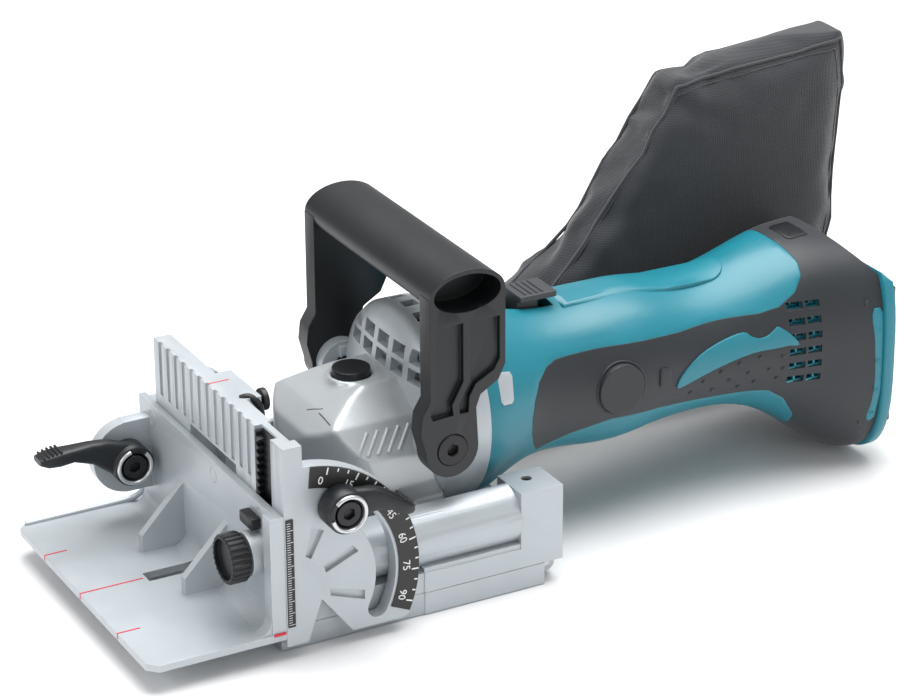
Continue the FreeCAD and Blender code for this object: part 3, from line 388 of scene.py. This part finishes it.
def panel(outline, tree, axis, sign, lift, thick, step=2.5):
    """A thin panel draped on a surface. Its outline is in (y, z) for axis X, or (x, y) for axis Z."""
    ring = [Vector((p[0], p[1])) for p in outline]
    low = [min(p[k] for p in ring) for k in (0, 1)]
    high = [max(p[k] for p in ring) for k in (0, 1)]
    inner = []
    for i in range(1, int((high[0] - low[0]) / step) + 1):
        for j in range(1, int((high[1] - low[1]) / step) + 1):
            inner.append(Vector((low[0] + i * step, low[1] + j * step)))
    count = len(ring)
    edges = [(i, (i + 1) % count) for i in range(count)]
    points, _, faces, _, _, _ = delaunay_2d_cdt(ring + inner, edges, [], 1, 1e-4)
    reach = 120.0

    def drop(p):
        if axis == "X":
            return Vector((side_x(tree, sign, p[0], p[1]) + sign * lift, p[0], p[1]))
        hit = tree.ray_cast(Vector((p[0], p[1], reach)), Vector((0, 0, -1)))[0]
        return Vector((p[0], p[1], (hit.z if hit else 90) + lift))

    down = Vector((-sign * thick, 0, 0)) if axis == "X" else Vector((0, 0, -thick))
    bm = bmesh.new()
    top = [bm.verts.new(drop(p)) for p in points]
    base = [bm.verts.new(v.co + down) for v in top]
    uses = {}
    for f in faces:
        bm.faces.new([top[i] for i in f])
        bm.faces.new([base[i] for i in reversed(f)])
        for i, j in zip(f, f[1:] + f[:1]):
            uses[(i, j)] = True
    for i, j in uses:
        if (j, i) not in uses:
            bm.faces.new((top[j], top[i], base[i], base[j]))
    for v in [v for v in bm.verts if not v.link_faces]:
        bm.verts.remove(v)
    bmesh.ops.recalc_face_normals(bm, faces=bm.faces)
    return rounded(bm, min(0.3, thick * 0.35), 2, 55.0)


def dome(centre, normal, radius, height, rings=4, sides=16):
    """A low button with a domed face."""
    n = Vector(normal).normalized()
    a = n.cross(Vector((0.2, 0.3, 0.9))).normalized()
    b = n.cross(a)
    sections = [[Vector(centre) - n * 0.6 + radius * (math.cos(t) * a + math.sin(t) * b)
                 for t in (2 * math.pi * k / sides for k in range(sides))]]
    for i in range(rings):
        f = math.radians(80.0 * i / (rings - 1))
        sections.append([Vector(centre) + n * height * math.sin(f) + radius * math.cos(f)
                         * (math.cos(t) * a + math.sin(t) * b)
                         for t in (2 * math.pi * k / sides for k in range(sides))])
    return loft(sections)


def turned(profile, axis_point, axis="Y", sides=48):
    """A solid of revolution from (radius, position) pairs that start and end off the axis."""
    sections = []
    for r, h in profile:
        ring = []
        for k in range(sides):
            t = 2 * math.pi * k / sides
            c, s = r * math.cos(t), r * math.sin(t)
            u, v = axis_point
            ring.append({"Y": (u + c, h, v + s), "X": (h, u + c, v + s), "Z": (u + c, v + s, h)}[axis])
        sections.append(ring)
    return loft(sections)


# ---------------------------------------------------------------- cast parts
for casting, width in (("base_casting", 0.6), ("blade_cover", 0.8), ("angle_guide", 0.5), ("fence", 0.7),
                       ("vent_collar", 0.5), ("depth_stop_bracket", 0.5), ("dust_nozzle", 0.5),
                       ("bag_collar", 0.4), ("handle", 0.8), ("motor_housing_right", 0.5),
                       ("motor_housing_left", 0.5), ("side_grip_right", 0.5), ("side_grip_left", 0.5),
                       ("brush_caps", 0.4), ("battery_rail", 0.5), ("shaft_lock_button", 0.5),
                       ("handle_bolts", 0.4), ("tilt_lock_bolt", 0.3), ("fence_lock_bolt", 0.3),
                       ("slide_switch", 0.6), ("rod_set_screws", 0.15), ("guide_stop_knob", 0.4),
                       ("depth_stop_turret", 0.3)):
    softened(casting, width)
dome_piece = melted("gear_housing", 0.9, 9)
dome_tree = surface_tree(dome_piece)


# ---------------------------------------------------------------- gear housing arrow in painted groove shade, and ribs
def on_surface(tree, points, sink, steps=8):
    """A line laid on a surface, sunk into it by some amount."""
    out = []
    for a, b in zip(points, points[1:]):
        for i in range(steps + (b == points[-1])):
            p = Vector(a).lerp(Vector(b), i / steps)
            spot, normal, _, _ = tree.find_nearest(p)
            out.append(spot - normal * sink)
    return out


# The engraved arrow is a dark bead laid almost flush on the housing: painted shade standing in for the shade in its
# groove.
arrow = [rod(on_surface(dome_tree, [a, b], 0.25), 0.38, 8) for a, b in
         (((3.6, -11.5, 72.0), (10.9, -7.5, 74.7)), ((11.2, -9.9, 73.6), (22.5, -10.4, 72.5)))]
add("plunge_arrow", from_parts(arrow), GROOVE_SHADE, "carriage")
ribs = []
for i in range(5):
    top, foot = (30.6, 3.7 + 4.6 * i, 68.6), (35.6, -3.4 + 4.6 * i, 60.6)
    ribs.append(rod(on_surface(dome_tree, [top, foot], 0.35), 0.95, 10))
add("flank_ribs", from_parts(ribs), HOUSING_PAINT_PAINTED_LIGHT, "carriage", angle=60)


# ---------------------------------------------------------------- fence details
def blend(face, x0, x1):
    """A concave fillet between the fence plate and an upright face."""
    curve = [(face - 6.2 + 6.2 * math.cos(t), 18.2 - 6.2 * math.sin(t)) for t in (math.pi / 16 * i for i in range(9))]
    return slab([(face + 0.4, 11.6), (face + 0.4, 18.0)] + curve + [(face - 6.2, 11.6)], "X", x0, x1, width=0.0)


blends = [blend(-54.1, *x) for x in ((-61.5, -23.0), (-19.5, -4.0), (3.5, 18.5), (22.0, 61.0))]
blends.append(blend(-57.0, 61.0, 66.8))
add("fence_blend", from_parts(blends), CAST, "fence", angle=50)
lip = [(-66.0, -104.5, 12.2), (-66.0, -90.0, 12.2), (-66.0, -70.0, 12.2), (-65.8, -60.6, 12.6),
       (-64.6, -56.3, 14.2), (-62.6, -53.7, 17.5), (-61.4, -52.7, 23.0), (-61.2, -52.5, 32.0)]
add("fence_lip", from_parts([rod(smooth_path(lip, 6), 1.35, 12)]), CAST, "fence", angle=60)
lines = [block((-0.35, 0.35), (-107.7, -81.4), (11.9, 12.14), 0.05),
         block((-0.35, 0.35), (-108.12, -107.5), (9.6, 12.1), 0.05)]
for x in (-36.8, 36.8):
    lines += [block((x - 0.35, x + 0.35), (-107.7, -98.6), (11.9, 12.14), 0.05),
              block((x - 0.35, x + 0.35), (-108.12, -107.5), (9.6, 12.1), 0.05)]
add("sight_lines", from_parts(lines), RED, "fence")
turns = [math.pi * i / 12 for i in range(25)]
spots = [rod([(x + 3 * math.cos(t), -54.1, z + 3 * math.sin(t)) for t in turns], 0.22, 6)
         for x, z in ((-49.0, 55.5), (10.0, 55.0), (53.0, 56.5))]
add("ejector_marks", from_parts(spots), CAST, "fence", angle=60)
add("knob_catch", from_parts([block((42.5, 53.5), (-58.3, -53.9), (50.6, 55.4), 0.8)]), BLACK, "fence")

knob_profile = [(8.2, -67.0), (8.2, -69.2), (9.3, -69.2), (10.0, -68.4), (10.0, -62.3), (9.4, -61.6),
                (5.9, -61.5), (5.9, -60.5)]
sections = []
count = 26
for r, y in knob_profile:
    ring = []
    for k in range(count * 4):
        t = 2 * math.pi * k / (count * 4)
        cutback = 0.75 if r > 9.2 and k % 4 in (0, 3) else 0.0
        ring.append((50.5 + (r - cutback) * math.cos(t), y, 40.0 + (r - cutback) * math.sin(t)))
    sections.append(ring)
add("height_knob_body", from_parts([loft(sections)]), BLACK, "knob", ("height_knob",), 30)


def lever(name, hub, x0, heading, flip, reach, node):
    """A cam lever: a round hub and an arm that narrows to a ribbed paddle, from lofted sections."""
    a = math.radians(heading)
    along = Vector((0.0, math.sin(a), math.cos(a)))
    across = Vector((0.0, math.cos(a), -math.sin(a))) * flip
    centre = Vector((0.0, *hub))
    stations = ((-2.0, 8.4, -6.5, 2.2, 8.2), (4.0, 10.3, -7.2, 2.0, 8.3), (10.0, 12.3, -1.5, 1.8, 8.5),
                (17.0, 13.0, 3.8, 1.6, 8.7), (25.0, 12.8, 6.8, 1.0, 9.3), (31.0, 12.9, 6.4, 0.4, 9.8),
                (36.0, 12.3, 6.9, 0.3, 9.9), (39.5, 11.2, 8.6, 1.2, 9.0))
    rings = []
    for d, top, low, near, far in stations:
        mid, half = (top + low) / 2, (top - low) / 2
        xm, xh = x0 + (near + far) / 2, (far - near) / 2
        ring = []
        for k in range(20):
            t = 2 * math.pi * k / 20
            c = math.copysign(abs(math.cos(t)) ** 0.55, math.cos(t))
            s = math.copysign(abs(math.sin(t)) ** 0.55, math.sin(t))
            p = centre + along * d * reach + across * (mid + half * s)
            ring.append((xm + xh * c, p.y, p.z))
        rings.append(ring)
    hub_profile = [(4.3, x0 + 5.4), (5.1, x0 + 5.6), (5.6, x0 + 9.6), (6.2, x0 + 10.0), (7.9, x0 + 10.0),
                   (8.6, x0 + 9.2), (8.6, x0 + 0.6), (8.1, x0 + 0.1), (4.3, x0 + 0.1)]
    hub_piece = turned(hub_profile, hub, "X", 48)
    parts = [loft(rings), hub_piece]
    for i in range(5):
        d = (30.5 + 1.8 * i) * reach
        lift = 12.95 - 0.16 * i * i * 0.5
        ends = []
        for x in (x0 + 1.2, x0 + 9.0):
            p = centre + along * d + across * lift
            ends.append((x, p.y, p.z))
        parts.append(rod([ends[0], Vector(ends[0]).lerp(Vector(ends[1]), 0.5), ends[1]], 0.55, 8))
    return add(name, from_parts(parts), BLACK, BODY_OF[node], (node,), 50)


lever("fence_lever_body", (-65.8, 39.5), -50.8, 270.0, 1, 1.0, "fence_lock_lever")
BOLT_ANGLE = math.radians(26.0)
TILT_HUB = (-45 + 36.5 * math.sin(BOLT_ANGLE), 29 + 36.5 * math.cos(BOLT_ANGLE))
lever("tilt_lever_body", TILT_HUB, 68.3, 122.0, -1, 0.68, "tilt_lock_lever")


def clip(name, hub, x0, gap, body, node):
    """A round-wire spring clip on a lever's face."""
    start, end = math.radians(gap + 28), math.radians(gap + 332)
    path = []
    for i in range(37):
        t = start + (end - start) * i / 36
        path.append((x0, hub[0] + 6.95 * math.cos(t), hub[1] + 6.95 * math.sin(t)))
    add(name, from_parts([rod(path, 0.85, 10)]), RING, body, (node,), 60)


clip("fence_lever_clip", (-65.8, 39.5), -40.6, 75.0, "fence_lever", "fence_lock_lever_ring")
clip("tilt_lever_clip", TILT_HUB, 78.5, 165.0, "tilt_lever", "tilt_lock_lever_ring")


# ---------------------------------------------------------------- guide details
def lettering(text, size):
    """The outline mesh of a number, centred, in millimetres."""
    curve = bpy.data.curves.new("figure", "FONT")
    curve.body = text
    curve.size = size
    curve.align_x = "CENTER"
    curve.align_y = "CENTER"
    curve.extrude = 0.12
    holder = bpy.data.objects.new("figure", curve)
    bpy.context.scene.collection.objects.link(holder)
    graph = bpy.context.evaluated_depsgraph_get()
    mesh = bpy.data.meshes.new_from_object(holder.evaluated_get(graph))
    bpy.data.objects.remove(holder)
    bm = bmesh.new()
    bm.from_mesh(mesh)
    return bm


def scale_angle(value):
    return math.radians(14.4 + value * 1.0556)


figures = []
for value in (0, 15, 30, 45, 60, 75, 90):
    t = scale_angle(value) - math.radians(2.6)
    up = Vector((0.0, math.sin(t), math.cos(t)))
    along = Vector((0.0, math.cos(t), -math.sin(t)))
    spot = Vector((68.12, -45.0, 29.0)) + up * 44.9
    bm = lettering(str(value), 4.4)
    turn = Matrix(((along.x, up.x, 1.0, spot.x), (along.y, up.y, 0.0, spot.y), (along.z, up.z, 0.0, spot.z),
                   (0, 0, 0, 1)))
    bmesh.ops.transform(bm, matrix=turn, verts=bm.verts)
    figures.append(bm)
for value in range(0, 91, 5):
    t = scale_angle(value)
    inner = 47.4 if value % 15 == 0 else 48.9
    bm = block((68.0, 68.22), (-0.28, 0.28), (inner, 50.3), 0.04)
    bmesh.ops.rotate(bm, cent=(0, 0, 0), matrix=Matrix.Rotation(-t, 3, "X"), verts=bm.verts)
    bmesh.ops.translate(bm, vec=(0, -45.0, 29.0), verts=bm.verts)
    figures.append(bm)
add("scale_figures", from_parts(figures), WHITE, "guide")
hatch = []
for i in range(44):
    z = 15.0 + i
    wide = 2.6 if i % 5 == 0 else 1.5
    hatch.append(block((67.9, 68.1), (-50.3, -50.3 + wide), (z, z + 0.2), 0.04))
add("ruler_marks", from_parts(hatch), WHITE, "guide")
beads = [block((x, x + 2.6), (-51.07, -49.0), (62.5, 88.4), 0.4) for x in (58.4, 63.6)]
add("post_beads", from_parts(beads), CAST, "guide")
ridges = []
for i in range(11):
    x = -46.5 + 5 + 7.5 * i + 0.2
    ridges.append(block((x - 0.2, x + 0.9), (-51.07, -50.6), (67.0, 87.6), 0.1))
add("guide_ridges", from_parts(ridges), CAST, "guide")
add("channel_strip", from_parts([block((44.2, 54.8), (-48.3, -47.4), (14.0, 88.0), 0.3)]), BLACK, "guide")
add("centre_line", from_parts([block((-0.3, 0.3), (-50.8, -41.6), (88.9, 89.12), 0.04)]), RED, "guide")
spring_clip = [(17.0, -44.6, 88.2), (18.5, -41.5, 88.8), (20.5, -38.6, 86.0), (21.0, -37.6, 81.0)]
add("stop_clip", from_parts([rod(smooth_path(spring_clip, 6), 1.5, 12)]), BLACK, "guide", angle=60)


# ---------------------------------------------------------------- motor housing details
FLAME = [(144.9, 56.4), (147.0, 61.6), (156.1, 68.2), (168.3, 72.0), (177.8, 73.4), (181.0, 71.4), (184.6, 70.0),
         (188.5, 70.6), (191.5, 72.4), (193.7, 73.4), (198.3, 70.0), (202.3, 64.8), (197.5, 65.0), (191.9, 64.7),
         (180.6, 64.4), (166.3, 61.6), (154.6, 58.4), (149.0, 56.6)]
DOTS = [(175.2, 60.7), (184.8, 61.7), (195.4, 60.4), (166.5, 58.6), (180.0, 55.2), (189.6, 55.1), (196.0, 54.6),
        (158.2, 55.9), (171.2, 53.5), (183.7, 50.1), (193.7, 50.2), (152.6, 51.8), (163.7, 50.4), (176.5, 48.9)]
for side, sign in (("right", 1), ("left", -1)):
    tree = tree_of("motor_housing_" + side, "side_grip_" + side, "brush_caps")
    shell = tree_of("motor_housing_" + side)
    flame = [(p.x, p.y) for p in smooth_path([(y, z, 0) for y, z in FLAME], 3, closed=True)]
    flames = [panel(flame, tree, "X", sign, 0.7, 1.2)]
    strip = [(236.2, 24.0), (237.6, 22.6), (240.0, 24.5), (241.2, 36.0), (241.2, 72.5), (239.8, 75.0), (237.2, 75.0),
             (236.2, 72.5)]
    flames.append(panel(strip, tree, "X", sign, 0.5, 1.0))
    for y, z in ((238.6, 65.8), (238.6, 51.6), (238.6, 38.3), (238.0, 27.0)):
        flames.append(dome((side_x(tree, sign, y, z) + sign * 0.4, y, z), (sign, 0, 0), 0.9, 0.7))
    for i in range(6):
        for j in range(2):
            y0, z0 = 198.5 + 8.3 * j, 79.0 - 6.4 * i
            x = side_x(shell, sign, y0 + 3.4, z0 + 4.6)
            span_x = sorted((x - sign * 3.0, x + sign * 0.25))
            flames.append(block(span_x, (y0 - 0.1, y0 + 7.2 - j), (z0 - 0.1, z0 + 0.9), 0.2))
            flames.append(block(span_x, (y0 + 3.0, y0 + 4.0), (z0, z0 + 3.0), 0.2))
    add("accents_" + side, from_parts(flames), TEAL, "carriage")
    details = []
    for y, z in DOTS:
        details.append(dome((side_x(tree, sign, y, z), y, z), (sign, 0, 0.1), 0.95, 0.6))
    latch = [(136.0, 59.4), (137.0, 58.6), (140.2, 58.6), (141.2, 59.6), (141.2, 65.6), (140.2, 66.6),
             (137.0, 66.9), (136.0, 66.0)]
    details.append(panel(latch, tree, "X", sign, 0.9, 1.6, 1.5))
    ridge = [(233.0, 22.0), (234.6, 20.5), (234.6, 79.0), (233.0, 78.0)]
    details.append(panel(ridge, tree, "X", sign, 0.8, 1.6))
    details.append(panel([(y + 10.3, z) for y, z in ridge], tree, "X", sign, 0.6, 1.4))
    rim = []
    for k in range(49):
        t = 2 * math.pi * k / 48
        y, z = 117.5 + 11.2 * math.cos(t), 62.5 + 11.2 * math.sin(t)
        rim.append((side_x(tree, sign, y, z) - sign * 0.1, y, z))
    details.append(rod(rim, 0.55, 8))
    add("grip_details_" + side, from_parts(details), RUBBER, "carriage")
    plate = [(57.6, 73.0), (58.6, 71.4), (62.9, 70.8), (64.2, 72.0), (65.6, 80.6), (64.8, 82.2), (59.4, 83.4),
             (58.0, 82.2)]
    add("side_plate_" + side, from_parts([panel(plate, shell, "X", sign, 0.4, 1.0, 2.0)]), CAST, "carriage")

rim = bmesh.new()
loops = []
for y, grow in ((241.2, 0.4), (241.6, 1.9), (242.2, 2.3), (245.6, 2.3), (246.2, 1.7), (246.2, -1.6), (241.4, -1.6)):
    loop = []
    for k in range(72):
        t = 2 * math.pi * k / 72
        x = math.copysign(abs(math.cos(t)) ** 0.62, math.cos(t)) * (39.4 + grow)
        z = 52.7 + math.copysign(abs(math.sin(t)) ** 0.62, math.sin(t)) * (48.3 + grow)
        loop.append(rim.verts.new((x, y, min(z, 87.0 + grow - (y - 242.0)))))
    loops.append(loop)
for one, two in zip(loops, loops[1:] + loops[:1]):
    for k in range(72):
        rim.faces.new((one[k], two[k], two[(k + 1) % 72], one[(k + 1) % 72]))
bmesh.ops.recalc_face_normals(rim, faces=rim.faces)
add("rear_rim", from_parts([rim]), TEAL, "carriage", angle=50)
both = tree_of("motor_housing_right", "motor_housing_left")
tongue = [(-9.5, 103.0), (9.5, 103.0), (10.0, 150.0), (10.0, 174.0)]
tongue += [(10.0 * math.cos(t), 174.0 + 9.0 * math.sin(t)) for t in (math.pi * i / 16 for i in range(1, 16))]
tongue += [(-10.0, 174.0), (-10.0, 150.0)]
add("top_tongue", from_parts([panel(tongue, both, "Z", 1, 1.0, 1.9, 3.0)]), TEAL, "carriage", angle=50)
hood = tree_of("side_grip_right", "side_grip_left", "motor_housing_right", "motor_housing_left")
notch = [(-6.5, 212.5), (6.5, 212.5), (8.0, 214.0), (8.0, 222.5), (-8.0, 222.5), (-8.0, 214.0)]
add("release_pad", from_parts([panel(notch, hood, "Z", 1, 0.5, 1.2, 2.0)]), BLACK, "carriage")
ribs = [block((-6.5, 6.5), (y, y + 0.9), (100.1, 100.9), 0.3) for y in (87.0, 89.6, 92.2, 94.8)]
add("switch_ribs", from_parts(ribs), GREY, "switch")


# ---------------------------------------------------------------- dust bag
BAG_MIDDLE = (195.0, 88.0)
BAG_SEAMS = (-48.5, -70.5)
MOST_STRETCH = 0.006
SETTLE_FRAMES = 20
# each crease: start y, z, end y, z, width, depth
CREASES = ((150.0, 96.0, 210.0, 120.0, 9.0, 1.6), (190.0, 148.0, 236.0, 122.0, 8.0, 2.0),
           (118.0, 60.0, 185.0, 66.0, 10.0, 1.4), (262.0, 150.0, 232.0, 100.0, 9.0, 1.6),
           (272.0, 70.0, 226.0, 78.0, 10.0, 1.5), (160.0, 110.0, 176.0, 60.0, 12.0, 1.2))


def dust_bag():
    """The bag from its sewn panels, blown out by a cloth simulation, then its seams."""
    outline = [(103.0, 18.0), (101.5, 36.0), (111.5, 52.5), (151.0, 103.5), (188.5, 151.5), (196.5, 156.3),
               (234.0, 159.6), (271.5, 162.0), (278.0, 158.0), (278.6, 120.0), (273.0, 61.0), (260.5, 41.5),
               (229.0, 29.5), (141.0, 19.5)]
    path = [(p.x, p.y) for p in smooth_path([(y, z, 0) for y, z in outline], 4, closed=True)]
    bm = slab(path, "X", -85.5, -48.5, width=2.0, segments=2)
    mesh = from_parts([bm])
    bag = add("dust_bag_cloth", mesh, CLOTH, "base", ("dust_bag",), 60)
    view = bpy.context.view_layer
    cells = bag.modifiers.new("cells", "REMESH")
    cells.mode = "VOXEL"
    cells.voxel_size = 0.0045
    graph = bpy.context.evaluated_depsgraph_get()
    remeshed = bpy.data.meshes.new_from_object(bag.evaluated_get(graph))
    bag.modifiers.clear()
    bag.data = remeshed
    edge = [Vector(p) for p in path]
    for v in bag.data.vertices:
        p = Vector((v.co.y / MM, v.co.z / MM))
        inset = min((p - q).length for q in edge)
        full = max(min(1.0, inset / 42.0), min(1.0, max(0.0, (150.0 - p.x) / 40.0)))
        full = full * full * (3 - 2 * full)
        x = v.co.x / MM + 48.5
        v.co.x = (-49.5 + 3.0 * full * (1 + x / 37.0) + x * (0.52 + 0.48 * full)) * MM
    rest = [v.co.copy() for v in bag.data.vertices]
    held = bag.vertex_groups.new(name="held")
    for v in bag.data.vertices:
        if v.co.y < 0.112 and v.co.z < 0.046:
            held.add([v.index], 1.0, "REPLACE")
    cloth = bag.modifiers.new("cloth", "CLOTH")
    cloth.settings.use_pressure = True
    cloth.settings.uniform_pressure_force = 3.0
    cloth.settings.mass = 0.25
    cloth.settings.tension_stiffness = 22
    cloth.settings.compression_stiffness = 12
    cloth.settings.bending_stiffness = 0.6
    cloth.settings.shrink_min = -0.035
    cloth.settings.vertex_group_mass = "held"
    cloth.settings.effector_weights.gravity = 0.0
    for number in range(1, SETTLE_FRAMES + 1):
        bpy.context.scene.frame_set(number)
    graph = bpy.context.evaluated_depsgraph_get()
    blown = bpy.data.meshes.new_from_object(bag.evaluated_get(graph))
    bag.modifiers.clear()
    bag.data = blown
    bpy.context.scene.frame_set(1)
    for v, start in zip(bag.data.vertices, rest):
        move = v.co - start
        if move.length > MOST_STRETCH:
            v.co = start + move * (MOST_STRETCH / move.length)
    for v in bag.data.vertices:
        p = v.co * 1000
        for y0, z0, y1, z1, width, depth in CREASES:
            a, d = Vector((y0, z0)), Vector((y1 - y0, z1 - z0))
            q = Vector((p.y, p.z)) - a
            t = max(0.0, min(1.0, q.dot(d) / d.length_squared))
            off = (q - d * t).length
            fade = math.sin(math.pi * min(1.0, t + 0.15))
            push = depth * fade * (math.exp(-(off / width) ** 2) - 0.5 * math.exp(-((off - width) / width) ** 2))
            v.co.x += -math.copysign(push * MM, p.x + 60.0) * min(1.0, abs(p.x + 60.0) / 9.0)
    for v in bag.data.vertices:
        v.co.x = min(-0.0425, max(-0.0945, v.co.x))
        v.co.y = min(0.2815, v.co.y)
        v.co.z = min(0.1645, v.co.z)
    bag.data.materials.clear()
    bag.data.materials.append(CLOTH)
    bag.data.shade_smooth()
    smooth = bag.modifiers.new("smooth", "SUBSURF")
    smooth.levels = 1
    smooth.render_levels = 1
    view.update()
    skin = surface_tree(bag)
    seams = []
    for x in BAG_SEAMS:
        path = []
        for p in smooth_path([(0, y, z) for y, z in outline], 6, closed=True):
            inward = (Vector((0, *BAG_MIDDLE)) - p).normalized()
            spot = skin.find_nearest(Vector((x, p.y, p.z)) + inward)[0]
            path.append(spot)
        path.append(path[0])
        seams.append(rod(path, 0.8, 8))
        stitches = [skin.find_nearest(q.lerp(Vector((q.x, *BAG_MIDDLE)), 0.055))[0] for q in path]
        seams.append(rod(stitches, 0.35, 6))
    add("dust_bag_seams", from_parts(seams), SEAM, "base", angle=60)


dust_bag()


# ---------------------------------------------------------------- camera, floor and light
def camera():
    az, el, roll = (math.radians(v) for v in (61.695, 23.902, -0.319))
    back = Vector((math.sin(az) * math.cos(el), -math.cos(az) * math.cos(el), math.sin(el)))
    right = Vector((math.cos(az), math.sin(az), 0.0))
    up = back.cross(right)
    right, up = (math.cos(roll) * right + math.sin(roll) * up, -math.sin(roll) * right + math.cos(roll) * up)
    data = bpy.data.cameras.new("view")
    data.lens = 129.99
    data.sensor_width = 36.0
    data.sensor_fit = "HORIZONTAL"
    data.clip_end = 30.0
    holder = bpy.data.objects.new("view", data)
    place = Matrix((right, up, back)).transposed().to_4x4()
    place.translation = Vector((1.07445, -0.51869, 0.62045))
    holder.matrix_world = place
    bpy.context.scene.collection.objects.link(holder)
    bpy.context.scene.camera = holder


def floor():
    bm = bmesh.new()
    bmesh.ops.create_grid(bm, x_segments=8, y_segments=8, size=4.0)
    mesh = bpy.data.meshes.new("floor")
    bm.to_mesh(mesh)
    bm.free()
    piece = bpy.data.objects.new("floor", mesh)
    piece.location.z = -0.0004
    mesh.materials.append(material("pale_floor", (0.86, 0.86, 0.865), 0.7, 0.0, 0.015, 3.0, 0.02, spread=0.03))
    bpy.context.scene.collection.objects.link(piece)


def area(name, spot, target, size, power, colour=(1.0, 1.0, 1.0)):
    data = bpy.data.lights.new(name, "AREA")
    data.shape = "RECTANGLE"
    data.size, data.size_y = size
    data.energy = power
    data.color = colour
    lamp = bpy.data.objects.new(name, data)
    lamp.location = spot
    lamp.rotation_euler = (Vector(target) - Vector(spot)).to_track_quat("-Z", "Y").to_euler()
    bpy.context.scene.collection.objects.link(lamp)


camera()
floor()
world = bpy.data.worlds.new("studio")
world.use_nodes = True
world.node_tree.nodes["Background"].inputs["Color"].default_value = (1.0, 1.0, 1.0, 1.0)
world.node_tree.nodes["Background"].inputs["Strength"].default_value = 0.5
bpy.context.scene.world = world
area("overhead", (-0.1, 0.25, 1.3), (0.0, 0.08, 0.0), (1.3, 1.1), 29.0)
area("front", (0.2, -1.3, 0.8), (0.0, 0.0, 0.05), (0.9, 0.7), 5.0)
area("right", (1.4, 0.4, 0.55), (0.0, 0.1, 0.05), (0.7, 0.7), 1.2)
bpy.context.scene.view_settings.view_transform = "Standard"
